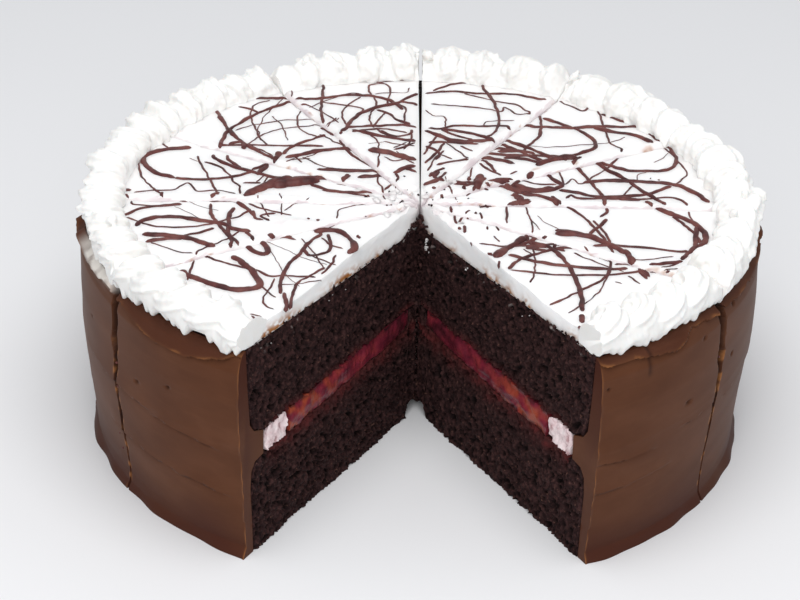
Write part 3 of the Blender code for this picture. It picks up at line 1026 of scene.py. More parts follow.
# %% Shape of the coating
def coating_shaper(number):
    """A shaper that moves the outer skin of one slice's coating."""
    start, _ = coat_span(number)

    def shape(radius, height, turn):
        degrees, arc = np.degrees(start + turn) % 360, (start + turn) * SIDE_RADIUS
        skin = np.clip((radius - 117.3) / 0.5, 0, 1) * np.clip((81.4 - height) / 2.5, 0, 1)
        move = 0.40 * ripples(arc, height * 0.7, 0, 46, 21) + 0.05 * ripples(arc * 0.3, height, 0, 11, 22)
        for depth, step, inside in blade_strokes(degrees, arc, height):
            move += depth * inside * np.where(step > 0, 0.8 * np.exp(-step / 3.5), -0.55 * np.exp(step / 1.1))
        over = above_ledge(degrees, arc, height)
        move += np.where(over > -0.2, 0.95 * bell(over, 3.0), -0.55 * np.exp(over / 1.3))
        for where, level, size in PITS:
            away = np.hypot((degrees - where) * MM_PER_DEGREE, height - level)
            move -= 1.3 * size * np.clip(1 - away / size, 0, 1)
        move += np.clip(1 - height / 5, 0, 1) * (0.35 + 0.45 * ripples(arc, 0, 0, 17, 25))
        for cut, away, hand in both_cuts(number, turn):
            if cut in (CUTS[0], CUTS[-1]):
                curl = np.clip(0.7 + 0.6 * ripples(0, height, 0, 6, 28), 0, 1.4)
                move += 0.45 * bell(away, 0.55) * curl
                continue
            wide = crack_width(cut, hand, height)
            move -= np.minimum(4.0, 0.9 + 2.2 * wide) * bell(away, np.maximum(wide, 0.35), 8)
        lip = np.clip((radius - 118) / 0.7, 0, 1) * np.clip((height - 76.5) / 2.6, 0, 1)
        lip = lip * np.clip(0.95 + 0.2 * ripples(arc, 0, 0, 7, 27), 0, 1.2)
        far_left = np.clip(1 - ((degrees - 188) / 6.5) ** 2, 0, 1) + 0.35 * bell(degrees - 200, 8, 4)
        near_zero = bell(((degrees + 180) % 360) - 178, 9)
        lifted = height + lip * (3.8 * far_left + 3.0 * near_zero)
        return radius + move * skin + lip * (2.2 * far_left + 1.4 * near_zero), lifted, turn
    return shape


# %% Colour of the coating
def coating_marks(number, radius, height, turn):
    """Where the coating gets painted shade (foot, ledge, pits, cracks), painted orange highlights, flecks, a
    drip or a smear of cream.
    """
    start, _ = coat_span(number)
    degrees, arc = np.degrees(start + turn) % 360, (start + turn) * SIDE_RADIUS
    outside, over = radius > 117, above_ledge(degrees, arc, height)
    # Painted shade: darker towards the foot, and in the band between the ledge and the cream above it.
    foot = np.clip((19 + 4 * ripples(arc, 0, 0, 40, 31) - height) / 16, 0, 1) * 0.85
    foot = np.maximum(foot, 0.5 * np.clip(over / 1.2, 0, 1))
    # Painted highlight: a pale orange line along the rolled ledge, strongest between 299 and 317 degrees.
    torn = 0.55 * bell(over - 0.2, 0.4) * np.clip(ripples(arc, 0, 0, 14, 32) - 0.1, 0, 1)
    torn *= np.where((degrees > 299) & (degrees < 317), 1.6, 0.8)
    # Painted shade: the pits are darkened in their hollows.
    hollow_shade_and_drip = np.zeros_like(height)
    for where, level, size in PITS:
        away = np.hypot((degrees - where) * MM_PER_DEGREE, height - level)
        hollow_shade_and_drip += 0.75 * np.clip(1.15 - away / size, 0, 1)
    # Painted shade in the crease under each stroke step.
    for _, step, inside in blade_strokes(degrees, arc, height):
        hollow_shade_and_drip += 0.6 * inside * bell(step + 0.3, 0.38) * np.clip(0.35 + ripples(arc, 0, 5, 8, 35), 0, 1)
    for cut, away, hand in both_cuts(number, turn):
        if cut in (CUTS[0], CUTS[-1]):
            # Painted highlight: a pale orange line along each open cut's edge.
            bright = np.clip(0.5 + 0.5 * ripples(0, height, 0, 5, 36), 0.1, 1)
            torn += 0.62 * bell(away, 0.42) * bright * np.clip(1.2 - height / 110, 0, 1)
            continue
        wide = crack_width(cut, hand, height)
        # Painted shade inside each closed cut's crack.
        hollow_shade_and_drip += bell(away, np.maximum(wide, 0.3) + 0.25, 6) * np.clip((height - 16) / 14, 0.3, 1)
        # Orange flecks beside the closed cuts go into the same mark.
        crumbs = bell(away - wide - 0.3, 0.6) * np.clip(ripples(arc, height, 0, 4, 33) - 0.1, 0, 1)
        torn += (0.8 if cut in CRACKS else 0.3) * crumbs * (height < 62)
    smear = bell(degrees - 201, 8, 6) * np.clip(0.85 + 0.3 * ripples(arc, height * 2, 0, 5, 34), 0, 1)
    smear = smear * np.clip((height - 78) / 1.5, 0, 1)
    # A dark drip runs down from the cream to the ledge at 309 degrees.
    drip = bell((degrees - 309.3) * MM_PER_DEGREE, 0.7) * np.clip((height - 70) / 2, 0, 1)
    hollow_shade_and_drip += 0.7 * drip
    return {"foot_shade": foot * outside, "painted_edge_glint_and_flecks": np.clip(torn, 0, 1) * outside,
            "hollow_shade_and_drip": np.clip(hollow_shade_and_drip, 0, 1) * outside, "cream_smear": np.clip(smear, 0, 0.8) * outside}


# %% Coating pieces
FINE_SIDES = (1, 2, 9, 10)      # slices whose side is seen from near by
SKIN_STEP = 0.0002              # radians; keeps the cut faces sharp against the side
WINE_TINT = ((0, 0.5), (28, 0.3), (36, 0.0), (46, 0.0), (54, 0.6), (81, 0.95))

for number in SLICES:
    start, end = coat_span(number)
    outline = np.concatenate([fine_line(SIDE, 0.5 if number in FINE_SIDES else 1.2), BACK_OF_SIDE])
    turns = clustered(end - start, 74)
    turns = np.concatenate([[0], turns[:1] + SKIN_STEP, turns[1:-1], turns[-1:] - SKIN_STEP, [end - start]])
    points = swept_points(number, outline, turns, coating_shaper(number), start)
    coat = make_piece(f"coating_{number:02d}_spread", points, ring_faces(len(turns), len(outline)),
                      COATING, sharp=45)
    marks = coating_marks(number, *(np.tile(outline[:, k], (len(turns), 1)) for k in (0, 1)),
                          np.tile(turns[:, None], (1, len(outline))))
    for name, values in marks.items():
        # At the open cuts the same darkening is a wine-dark tint across the cut face, set by height.
        if number in OPEN_SLICES:
            cut_ring = 0 if number == 1 else -1
            values[cut_ring] = read_off(WINE_TINT, outline[:, 1]) if name == "foot_shade" else 0
        store(coat, name, values)
    settle(coat, "chocolate_coating", f"coating_{number:02d}")
    print("coating", number, "points", len(coat.data.vertices))

# %% [markdown]
# ## Chocolate drizzle
# Melted chocolate was flicked over the top from a spoon. It fell in thin looping strings with thicker
# stops, and broke where the knife went through. Each string is a list of places, in millimetres from
# the cake's middle, with its width first. A smooth curve through them carries a low half-round section
# that lies on the cream.

# %% Strings at the front left
FRONT_LEFT = (
    (1.6, (-106, -15.5), (-100, -9.5), (-93, -7), (-86, -5.5)),
    (1.0, (-105, -16.5), (-98, -21.5), (-92, -23.8), (-84, -23.5), (-76, -21), (-70, -17.5), (-64.5, -13.5),
     (-61, -7.5)),
    (2.2, (-101, -23.5), (-99, -19.5), (-94, -16.5), (-86, -15.8), (-78, -18), (-70, -20.5), (-66.5, -24),
     (-60, -26)), (2.6, (-98, -29.5), (-84, -31.5), (-77, -35), (-72, -39)),
    (1.8, (-96.5, -35), (-90, -33), (-84, -32)),
    (1.4, (-75.5, -5), (-75, -12), (-72, -20), (-69, -27), (-66.5, -33), (-66.5, -38)),
    (1.6, (-67, -7), (-68.5, -14), (-68, -20), (-68, -27), (-65.5, -33), (-63.5, -37)),
    (1.4, (-62, -26), (-60, -29), (-58.5, -34.5)),
    (2.0, (-61.5, -37), (-58, -41.5), (-54.5, -44), (-53, -41.5), (-54.5, -37), (-56.5, -33.5)),
    (2.6, (-65.5, -45), (-61, -51), (-57, -58), (-55, -65), (-57, -68.5), (-64, -69), (-72, -65.5),
     (-79, -60.5), (-83, -56)),
    (0.9, (-80, -63), (-79.5, -56), (-78.5, -49), (-78, -43), (-74, -38), (-69, -33), (-64, -26)),
    (1.0, (-75, -46), (-69, -49.5), (-61, -53.5), (-56, -55.5), (-51.5, -59), (-47, -58), (-42, -58.5),
     (-36, -59)), (0.7, (-95, -35.5), (-92, -37), (-85, -41.5), (-79.5, -43.5)),
    (0.8, (-63, -46), (-58, -57), (-54, -67), (-49, -74)),
    (1.5, (-39, -24), (-35, -27), (-38.5, -33), (-42, -42), (-45.5, -50), (-47.5, -58), (-48, -66),
     (-47.5, -71)), (2.4, (-37.5, -26), (-33, -24.5), (-28.5, -25), (-25, -30), (-23, -37), (-25, -42)),
    (1.4, (-33, -27), (-31.5, -33), (-32, -40), (-35, -43), (-39, -43.5), (-41, -38)),
    (0.8, (-35, -30), (-31, -36), (-27, -38)), (0.7, (-42, -31), (-38, -40), (-35, -48), (-33, -54)),
    (1.0, (-29.5, -43), (-31, -50), (-34, -57)), (0.7, (-40, -42), (-34, -47), (-29, -50)),
    (1.2, (-33, -52), (-38, -58), (-42, -63), (-43.5, -72), (-44, -82)),
    (1.6, (-46.5, -70), (-45.5, -77), (-45, -84)),
    (0.8, (-50, -60), (-51.5, -68), (-53.5, -75), (-52.5, -80), (-49, -82.5)),
    (0.4, (-56, -33), (-48, -39), (-40, -46), (-32, -50)),
    (0.4, (-53, -38), (-50, -48), (-46, -58), (-41, -66)), (0.8, (-57.5, -87), (-53, -88.5)),
    (0.8, (-57, -88), (-54.5, -91.5)), (0.6, (-40, 2), (-44, -2), (-49, -8)),
    (0.7, (-15, 1), (-22, -3), (-29, -6), (-29.5, -12), (-30, -15)), (0.7, (-29, -17), (-33, -24)),
    (1.0, (-62, -4), (-57, -7), (-51, -10), (-46, -12)), (0.7, (-59, 3), (-57, -5), (-54, -14)),
    (0.7, (-51, 6), (-50, -4), (-50, -12)), (1.2, (-52, -10.5), (-57, -13), (-54, -17)),
    (1.3, (-60, -9), (-59, -15), (-56, -16)), (1.6, (-64.5, -1), (-66, -3), (-62, -8), (-59, -14)),
    (0.9, (-104, 4), (-97, 5.5), (-90, 6), (-85, 12), (-81, 5.5), (-74, 6.5), (-67, 4)),
    (1.8, (-112, 4), (-105, 6.5)), (1.2, (-110.5, 0), (-107.5, 8)),
    (0.9, (-107, 2), (-104.5, -3), (-103.5, -6), (-96, -7.3), (-90, -6.5)),
    (1.2, (-94, 4), (-93, 0), (-88, -2.5), (-84, -4)), (0.4, (-89, -7), (-83, -12), (-78, -16.5)),
    (0.4, (-84, -3), (-79, -7), (-72, -10)), (1.5, (-77, -1.5), (-75, 2), (-73, 5)),
    (0.9, (-76, -3), (-70, -2.5), (-66, -3)), (3.4, (-64, 2), (-60, 6.5), (-54, 12.5)),
    (1.4, (-84, -30), (-78, -27), (-73, -23.5)), (0.7, (-48, -65), (-41, -63.5), (-34, -60.5)),
    (3.0, (-52, -29.5), (-45, -31)), (4.6, (-55, 10), (-46, 14), (-37, 16.5)),
    (5.0, (-57, 9), (-52, 14), (-46, 17)), (3.2, (-48, 16.5), (-38, 18), (-31, 17)))

# %% Strings at the back left
BACK_LEFT = (
    (2.4, (-86, 42.5), (-94, 40.5), (-100.5, 37), (-103, 32), (-101, 26), (-97, 20), (-90, 16)),
    (1.7, (-90, 16), (-83, 15), (-74, 16.2), (-66, 19.5), (-61, 23)),
    (0.9, (-104, 33), (-104, 26), (-102, 17), (-98, 8.5), (-94, 2)),
    (1.0, (-83, 36), (-81, 28), (-78, 18), (-75, 9), (-73, 2)),
    (1.0, (-80, 31), (-74, 26), (-70, 19), (-68.5, 14), (-66, 10), (-65.5, 4)),
    (1.8, (-77, 37), (-76.5, 34), (-72, 29), (-66, 24.5), (-60, 21), (-54, 18), (-50, 17)),
    (1.4, (-72, 36), (-70.5, 31), (-66, 25.5)),
    (1.7, (-78.5, 77), (-76.5, 69), (-74, 62), (-71, 55), (-67, 48), (-62, 42), (-57, 36), (-54, 33)),
    (1.6, (-75, 42), (-74.5, 50), (-72.5, 58), (-67, 67), (-61, 75), (-55, 81), (-50, 85.5)),
    (1.6, (-66, 87.5), (-58, 87.5), (-50, 88), (-44, 88), (-38, 89.5), (-30, 93), (-22, 93), (-15, 91),
     (-10, 87), (-7, 80)), (1.4, (-50, 97.5), (-44, 99), (-40, 102.5)), (0.7, (-50, 98), (-50, 90)),
    (1.3, (-38, 102.5), (-38, 92), (-38.2, 80), (-37.5, 70), (-36, 64)),
    (0.9, (-20.5, 102), (-15, 104), (-12, 101), (-12, 94), (-13, 86)),
    (0.9, (-20, 103), (-20, 97), (-18, 91), (-17, 85), (-18.5, 79), (-19.5, 70), (-17.5, 62)),
    (0.9, (-22, 108.5), (-17, 105), (-13, 106), (-8, 107.5), (-3, 108)),
    (0.6, (-18, 94.5), (-12, 96), (-6, 96.5), (-4, 101)),
    (1.9, (0, 97), (-5, 91), (-10, 86), (-16, 82.5), (-22, 77), (-26, 70), (-28, 62), (-30, 58)),
    (1.4, (-30, 58), (-30, 50), (-28, 43), (-24, 36), (-18, 30), (-15, 25)),
    (0.8, (-58, 86), (-63, 82), (-65, 75), (-64.5, 68), (-62.5, 60), (-60.5, 52), (-57, 46)),
    (0.6, (-53, 88), (-57, 79), (-60, 69), (-61.5, 60), (-60, 50)),
    (0.6, (-57, 72), (-53, 64), (-51, 56), (-50, 50)),
    (0.7, (-70, 58), (-64, 63), (-57, 66), (-50, 68.5), (-41, 69)),
    (0.8, (-65, 46), (-61, 53), (-55, 59), (-47, 62), (-38, 64)),
    (1.3, (-75, 44.5), (-66, 45.5), (-55, 45.5), (-45, 45.5), (-36, 45)),
    (0.8, (-45, 79), (-47, 71), (-46, 62), (-43, 56.5), (-39, 53.5)), (1.0, (-65, 46), (-58, 40), (-55, 36)),
    (1.6, (-36, 55), (-41, 51), (-46, 47), (-50, 42), (-51, 38)),
    (2.2, (-50, 35), (-43, 38.5), (-36, 41.5), (-30, 43), (-24, 42)),
    (3.0, (-19.5, 43), (-12, 41), (-6, 38), (0, 35)),
    (2.0, (-38, 25.5), (-30, 26), (-22, 25.8), (-15, 25), (-12, 25)),
    (2.2, (-23, 21), (-16, 21.5), (-10, 23)), (2.2, (-10, 25), (-5, 30), (0, 31.5)),
    (1.6, (-29, 62), (-22, 63), (-14, 64), (-6, 65), (0, 62.5)),
    (1.8, (-26, 60), (-18, 56), (-10, 53), (0, 51)), (1.4, (-17, 80), (-12, 76), (-9, 70), (-4, 66)),
    (0.9, (-13, 78), (-16, 70), (-18, 63)), (0.9, (-10, 88), (-6, 82), (-6, 75), (-6, 68)),
    (0.9, (-23, 92), (-28, 84), (-30, 76), (-29, 68), (-27, 62)),
    (0.8, (-46, 84), (-40, 79), (-35, 73), (-31, 67)),
    (0.7, (-43, 80), (-39, 85), (-33, 91), (-27, 95), (-22, 94)),
    (1.2, (-17, 62), (-14, 57), (-8, 53), (0, 50)), (0.8, (-19, 55), (-16, 50), (-15.5, 40), (-15.5, 30)),
    (0.4, (-20, 48), (-13, 50)), (0.8, (-10, 45), (-5, 50)), (0.8, (-44, 36), (-37, 29.5), (-30, 26)),
    (1.6, (-40, 13), (-34, 9.5), (-27, 8), (-20, 7.5), (-14, 9)), (1.0, (-36, 9), (-26, 7), (-17, 4)),
    (0.6, (-31, 14), (-24, 13), (-17, 9)), (0.8, (-15.5, 25), (-15.5, 18), (-13.5, 10), (-13, 3), (-10, -5)),
    (0.9, (-10, 16), (-13, 10)), (1.0, (-70, 79), (-66, 77), (-62, 74)),
    (2.0, (-72, 46), (-67, 48), (-66, 42)), (1.0, (-38, 86), (-30, 84), (-23, 81.5), (-22, 78)),
    (0.7, (-38, 63), (-33, 68), (-31, 72)), (0.7, (-32, 72), (-34, 66), (-37, 62)),
    (1.7, (-38, 61), (-35, 58.5), (-33, 54)), (0.7, (-38, 56), (-34, 51), (-29, 45)),
    (1.4, (-8, 88), (-3, 86), (0, 82)), (1.2, (-15, 60), (-12, 56), (-8, 55), (-4, 57), (-3, 61)),
    (0.9, (-3, 57), (-4, 50), (-6, 44)), (1.0, (-2, 50), (-6, 46), (-10, 44)),
    (0.8, (-14, 38), (-10, 35), (-5, 37)), (0.8, (-9, 43), (-5, 36), (-2, 33)), (2.4, (-5, 28.5), (-1, 26)),
    (1.0, (-8, 22), (-9, 16)), (1.4, (-9, 25), (-8, 21)), (0.8, (-50, 31), (-45, 36.5)),
    (0.8, (-47, 37), (-44, 31)), (0.7, (-43, 35), (-38, 40), (-33, 42)), (0.7, (-48, 33), (-41, 35)),
    (0.9, (-97, 45.5), (-94, 42)), (1.0, (-101, 43), (-102, 38)), (0.6, (-86, 34), (-82, 31)),
    (1.2, (-26, 58), (-20, 60), (-13, 61), (-5, 58)), (0.8, (-14, 50), (-8, 48), (-2, 47)),
    (2.4, (-54.5, 30), (-52.5, 40)), (2.6, (-29, 16), (-26, 23)),
    (2.0, (-58, 26), (-60, 20), (-57, 28), (-62, 24)), (1.0, (-65, 12.5), (-58, 13)),
    (0.7, (-60, 14), (-57, 20)), (0.7, (-56, 18), (-58.5, 8)))

# %% Strings at the back right
BACK_RIGHT = (
    (2.2, (8, 108), (16, 107.5), (23, 107)),
    (1.3, (23, 107), (26, 98), (28.5, 88), (30, 78), (30, 68), (28, 60), (25, 56)),
    (1.2, (5, 98), (10, 103), (17, 106), (24, 105)),
    (1.4, (2, 96), (12, 97.5), (24, 96.5), (36, 96), (42, 94), (49, 91.5)),
    (0.9, (17, 96), (24, 92.5), (30, 89), (37, 86.5), (40, 83), (42, 79), (37, 78), (34.5, 82), (32.5, 84),
     (31, 80), (25, 82.5), (15, 84.5), (4, 86)), (0.7, (2, 80), (5, 75), (9.5, 73.5), (9.5, 65), (10.5, 58)),
    (1.3, (3, 63), (8, 62.5), (14, 65.5), (22, 65.5), (32, 66.5), (34, 63)),
    (1.8, (8, 62), (16, 60), (24, 56), (28, 52)), (2.0, (2, 60), (8, 55), (14, 52), (22, 52), (27, 52.5)),
    (1.6, (3, 50), (12, 50.5), (20, 50.5)),
    (2.0, (38, 67), (46, 66.5), (56, 66.5), (66, 68), (76, 68.5), (84, 69.5)),
    (1.8, (47, 75), (54, 70), (60, 65), (65, 57), (66, 50), (62, 45), (55, 41), (48, 40.5), (38, 40.5),
     (30, 41), (25, 41)),
    (1.0, (54, 90), (58, 86.5), (63, 83), (66.5, 88), (69, 80), (70, 70), (71, 60), (72, 53), (75.5, 49),
     (75, 46)), (1.6, (70, 80), (77, 74), (84, 69), (88, 62), (90.5, 56)),
    (2.2, (66, 67), (73, 63.5), (81, 61.5), (86, 57), (88, 54.5)),
    (1.4, (45, 80), (46, 74), (46, 66), (45, 58), (42, 52), (39.5, 47), (38.5, 43)),
    (0.6, (40, 49.5), (50, 48.5), (60, 51), (70, 53.5), (75, 56.5), (78, 60)),
    (2.0, (31, 53), (37, 50), (42, 46), (47, 41), (52, 38)), (1.8, (28, 51), (35, 46), (40, 41), (46, 36)),
    (1.6, (26, 45.5), (35, 45), (43, 42)),
    (1.7, (64, 38), (71, 33.5), (77, 30.5), (85, 30.5), (92, 32), (95.5, 38), (95.5, 45), (93, 52)),
    (1.9, (65, 37), (70, 30), (76, 23), (81, 14), (86, 7), (89, 2)),
    (0.8, (91, 52), (95, 44), (97.5, 36), (99, 29), (96, 23), (94, 20)),
    (0.6, (93.5, 47), (90, 41), (87, 38)),
    (2.1, (60, 20), (68, 21.5), (78, 21.5), (88, 20.5), (95, 18.5), (101, 12), (105, 5)),
    (1.6, (58, 32), (61, 25), (64, 17), (66.5, 8), (67, 0)),
    (0.9, (75, 43), (72, 36), (68, 30), (63, 24), (62, 20)), (0.5, (84, 29.5), (80.5, 27), (80, 21)),
    (0.8, (78, 18), (75, 12), (74, 8)), (2.2, (45, 28), (49, 22), (52, 17), (48, 13), (42, 11.5), (36, 12)),
    (1.6, (42, 27), (38, 22), (35, 17), (32, 13)), (1.2, (36, 20), (43, 18), (50, 17.5)),
    (0.8, (50, 32), (52, 25), (53, 18), (56, 22.5), (58.5, 19), (62, 20)),
    (1.8, (51, 13), (57, 11), (63, 8.5), (68, 7.5), (76, 8.5), (83, 11), (88, 15), (92, 18)),
    (1.2, (53, 6), (55, 9), (58, 6.5), (66, 6.5), (75, 6), (83, 7), (90, 8.5), (95, 6.5), (97, 2)),
    (2.4, (72, 6.5), (80, 5.5)), (2.0, (82, 5), (85, 0)), (2.0, (21, 37), (28, 37), (35, 34.5)),
    (1.2, (22, 33), (26, 28), (30, 24)), (1.2, (24, 36), (28, 27)), (1.4, (6, 32), (12, 35), (18, 36.5)),
    (0.8, (7, 41), (12, 37)), (1.4, (2, 47), (7, 42), (6, 36)), (0.8, (10, 50), (15, 42), (18, 37)),
    (1.2, (2, 33), (6, 42), (9, 50)), (1.0, (15, 48), (20, 43)), (1.4, (0, 15), (6, 18), (5, 25), (9, 30)),
    (3.0, (13, 17), (20, 16)), (3.2, (21, 12), (22, 24)), (1.2, (18, 10), (24, 22)),
    (3.0, (26, 19.5), (33, 20)), (3.0, (34, 14), (40, 10)), (1.6, (24, 17), (30, 14.5), (33, 12)),
    (3.2, (43, 33), (48, 37), (54, 39.5), (59, 40)), (3.0, (35, 16), (39, 12.5), (44, 12), (49, 15)),
    (2.4, (31, 18), (33, 13), (37, 9)), (2.0, (37, 9), (43, 8), (47, 5), (50, 1)),
    (1.8, (33, 8), (37, 6), (36, 2)), (1.6, (29, 43), (36, 44), (42, 43)),
    (1.6, (31, 39), (38, 38), (45, 35)), (1.4, (24, 38.5), (30, 37), (35, 34)),
    (1.3, (7, 58), (10, 53), (15, 50), (22, 50)), (1.3, (8, 62), (13, 57), (20, 53)),
    (1.0, (1.5, 40), (4, 49), (7, 58)), (0.9, (3, 27), (5, 36), (9, 44)),
    (0.7, (24, 66), (26, 71), (36, 72)), (0.9, (18, 21), (19, 27), (19, 33)), (1.4, (6, 0), (8, 7)),
    (0.8, (9, 22), (11, 12), (13, 4), (14, 0)), (1.6, (16, 14), (23, 18)), (1.4, (17, 19), (23, 11)),
    (1.3, (20, 21), (20.5, 10)), (1.2, (27, 31), (24, 35), (20, 37)), (1.0, (33, 25), (36, 28)),
    (1.5, (60, 41), (57, 36), (58, 33)), (1.0, (19, 11), (17, 6)), (1.0, (22, 13), (25, 9)),
    (1.3, (5, 21), (7, 27)), (1.3, (7, 20), (9.5, 26)), (1.2, (3.5, 22), (5, 26)),
    (1.8, (1.5, 15.5), (5, 18.5), (9, 19.5)), (1.0, (9, 16), (11, 12)))

# %% Strings at the front right
FRONT_RIGHT = (
    (3.6, (32, 0), (39, 3)), (3.0, (34, 10), (36, 4)),
    (0.8, (38, 0), (39, -8), (40, -16), (40, -25), (40, -35), (40, -50), (38, -60)),
    (1.3, (48, 8), (52, 0), (58, -8), (61, -14), (64, -21), (66, -28), (68, -36)),
    (1.2, (67, 0), (67, -5), (64.5, -9)), (1.6, (67, -10.5), (64, -16), (60, -22)),
    (1.0, (62, -11.5), (65, -18), (67.5, -28)),
    (3.0, (48, -22.5), (55, -23), (61, -24.5), (66, -29), (70, -33), (72, -36)),
    (1.6, (61, -30.5), (70, -30), (80, -31), (90, -33.5), (95, -33)),
    (2.4, (84, -1), (90, -5), (96, -9.5), (100, -15), (101.5, -22), (100, -28), (98, -30)),
    (1.4, (91, -7), (95, -14), (98, -20), (99.5, -27)),
    (2.0, (99, -14), (98, -22), (97, -30), (94, -35), (92, -40)), (1.8, (92, -41), (86, -43), (80, -44.5)),
    (0.8, (97, -3), (98, -10)), (0.8, (89, -37), (80, -40), (75, -40.5)),
    (2.6, (72, -33), (73.5, -38), (75, -45)), (2.6, (77, -49), (78.5, -55)), (0.8, (72, -53), (76, -60)),
    (3.0, (37, -26), (34, -31), (30, -36), (27, -41), (26.5, -43)), (3.2, (45, -26), (39, -25)),
    (1.9, (39, -30), (45, -33), (49, -39), (52, -48), (54, -58), (55, -68), (55, -80)),
    (1.8, (54.5, -82), (54.5, -88)), (1.2, (53.5, -90), (53.5, -93)), (1.8, (37, -22.5), (39, -32)),
    (1.8, (42, -26), (35, -33)), (1.5, (45, -36), (37, -34.5)), (2.4, (46, -30), (51, -31)),
    (1.4, (50, -27), (47, -33), (51, -36)), (1.8, (48, -20), (55, -21.5), (62, -25)),
    (1.6, (21.5, -3), (26, -1)), (0.9, (21.5, -7), (22.5, -12)), (0.9, (24, -18), (24, -20.5)),
    (0.9, (84, -46.5), (88, -44.5), (91, -42)), (0.8, (85, -48.5), (90, -46.5)), (1.2, (68, -45), (75, -45)),
    (1.2, (21, -31), (27, -33), (32, -33), (40, -32.5), (48, -31)), (1.6, (37, -34), (45, -33)),
    (2.2, (48, -28), (51, -31)), (1.6, (54, -33.5), (48, -34.5), (42, -38), (36, -42), (33, -46), (31, -51)),
    (1.8, (31, -40), (38, -43.5), (47, -46.5), (57, -48), (66, -48.5), (72, -48)),
    (1.2, (31, -51), (38, -52.5), (48, -54), (58, -53.5), (66, -53), (72, -51), (78, -50)),
    (1.4, (80, -51), (87, -49)),
    (1.2, (66, -40), (66.5, -46), (65, -53), (61, -59), (54, -66), (48, -72), (44, -75)),
    (0.7, (65, -54), (62, -64), (57, -73), (50, -81)), (0.5, (42, -8), (45, -14), (50, -20)),
    (0.5, (40, -12), (43, -20)), (0.8, (54, -37), (60, -42), (66, -47), (71, -50)),
    (0.6, (58, -32), (62, -38), (66, -43)), (0.7, (36, -35), (40, -40)),
    (1.2, (11, -2), (12, -9), (13, -16)), (1.0, (18, -5), (15, -11), (14, -15)),
    (1.4, (16, -17), (15.5, -23)), (1.0, (27, -17), (28, -22)), (0.9, (31, -2), (31, -16)),
    (0.8, (26, -25), (28, -30)), (1.6, (24, -39), (25, -41)), (0.9, (27.5, -45), (27.5, -50)),
    (0.6, (18, -30), (18, -33)), (0.6, (67, -58), (70, -59.5)), (2.2, (-54, -29), (-44, -28)),
    (1.6, (-36.5, -15), (-36.5, -17)), (1.2, (-40, -14), (-40, -16)), (1.2, (-21.5, -28), (-21.5, -30)))

# %% Lay the strings
def smooth_line(corners, step=0.8):
    """Points about `step` mm apart on a smooth curve through the corners."""
    corners = np.asarray(corners, float)
    padded = np.concatenate([[2 * corners[0] - corners[1]], corners, [2 * corners[-1] - corners[-2]]])
    line = []
    for a, b, c, d in zip(padded, padded[1:], padded[2:], padded[3:]):
        for t in np.linspace(0, 1, max(2, int(np.linalg.norm(c - b) / step)), endpoint=False):
            line.append(0.5 * (2 * b + (c - a) * t + (2 * a - 5 * b + 4 * c - d) * t * t
                               + (3 * b - 3 * c + d - a) * t ** 3))
    return np.array(line + [corners[-1]])


def lay_string(line, width, seed):
    """A low rounded strand on the cream, thicker and thinner along its way, with rounded ends."""
    ahead = np.gradient(line, axis=0)
    ahead /= np.maximum(np.linalg.norm(ahead, axis=1), 1e-6)[:, None]
    side = np.stack([-ahead[:, 1], ahead[:, 0]], 1)
    run = np.arange(len(line))
    end_gap = np.minimum(run, run[::-1]) * 0.8
    uneven = 0.13 * ripples(run * 0.8, 0, 0, 9, seed) + 0.06 * ripples(run * 0.8, 0, 0, 3, seed + 1)
    half = 0.49 * width * (1 + uneven)
    half = np.maximum(half, 0.22) * np.sqrt(np.clip(end_gap / (0.6 * width) + 0.12, 0.1, 1))
    section = np.linspace(0, math.pi, 7)
    rings = []
    for k, (place, across) in enumerate(zip(line, side)):
        spots = place + np.outer(np.cos(section) * half[k], across)
        level = top_height(spots[:, 0], spots[:, 1])
        lift = np.sin(section) ** 0.8 * half[k] * 0.85
        ring = np.column_stack([spots, level + lift - 0.12])
        below = (*spots[3], level[3] - 0.6)
        rings.append(np.vstack([ring, below]))
    return np.concatenate(rings), ring_faces(len(rings), 8)


def heaped(strings):
    """The strings, with each short thick one turned into the small heap of thin sticks that it is."""
    rng = random.Random(8)
    for width, *corners in strings:
        (ax, ay), (bx, by) = corners[0], corners[-1]
        if width < 2.4 or math.hypot(bx - ax, by - ay) > 8:
            yield (width, *corners)
            continue
        for _ in range(round(width * 2.2)):
            spread = 0.42 * width
            yield (rng.uniform(0.7, 1.5),
                   (ax + rng.uniform(-spread, spread), ay + rng.uniform(-spread, spread)),
                   (bx + rng.uniform(-spread, spread), by + rng.uniform(-spread, spread)))


def lay_all(strings):
    """Every string, broken wherever a cut runs through it, as one mesh."""
    laid, total = [], 0
    for seed, (width, *corners) in enumerate(heaped(strings)):
        line = smooth_line(corners) + np.array(AXIS)
        wander = 0.18 * np.stack([ripples(*line.T, 0, 5, seed), ripples(*line.T, 4, 5, seed)], 1)
        line = line + wander
        away, _ = to_cut(*line.T, CUTS[1:-1])
        whole = away > 1.0
        runs = np.split(np.arange(len(line)), np.flatnonzero(np.diff(whole.astype(int))) + 1)
        for run in runs:
            if whole[run[0]] and len(run) >= 3:
                laid.append(lay_string(line[run], width, seed))
                total += 0.8 * len(run)
    print("strings", len(strings), "length in m", round(total / 1000, 2))
    return joined(laid)


points, faces = lay_all(FRONT_LEFT + BACK_LEFT + BACK_RIGHT + FRONT_RIGHT)
settle(make_piece("drizzle", points, faces, DRIZZLE, sharp=70), None)
print("drizzle faces", len(faces))

# %% [markdown]
# ## Crumbs, flecks and chips
# A knife pulled out of the middle leaves torn sponge at the tips, flecks of cream on the dark crumb and
# chips of drizzle. Each is a small rough lump. A pinched icosphere gives one, and a seeded random sets its
# size and turn, so all lumps of one kind make one piece.

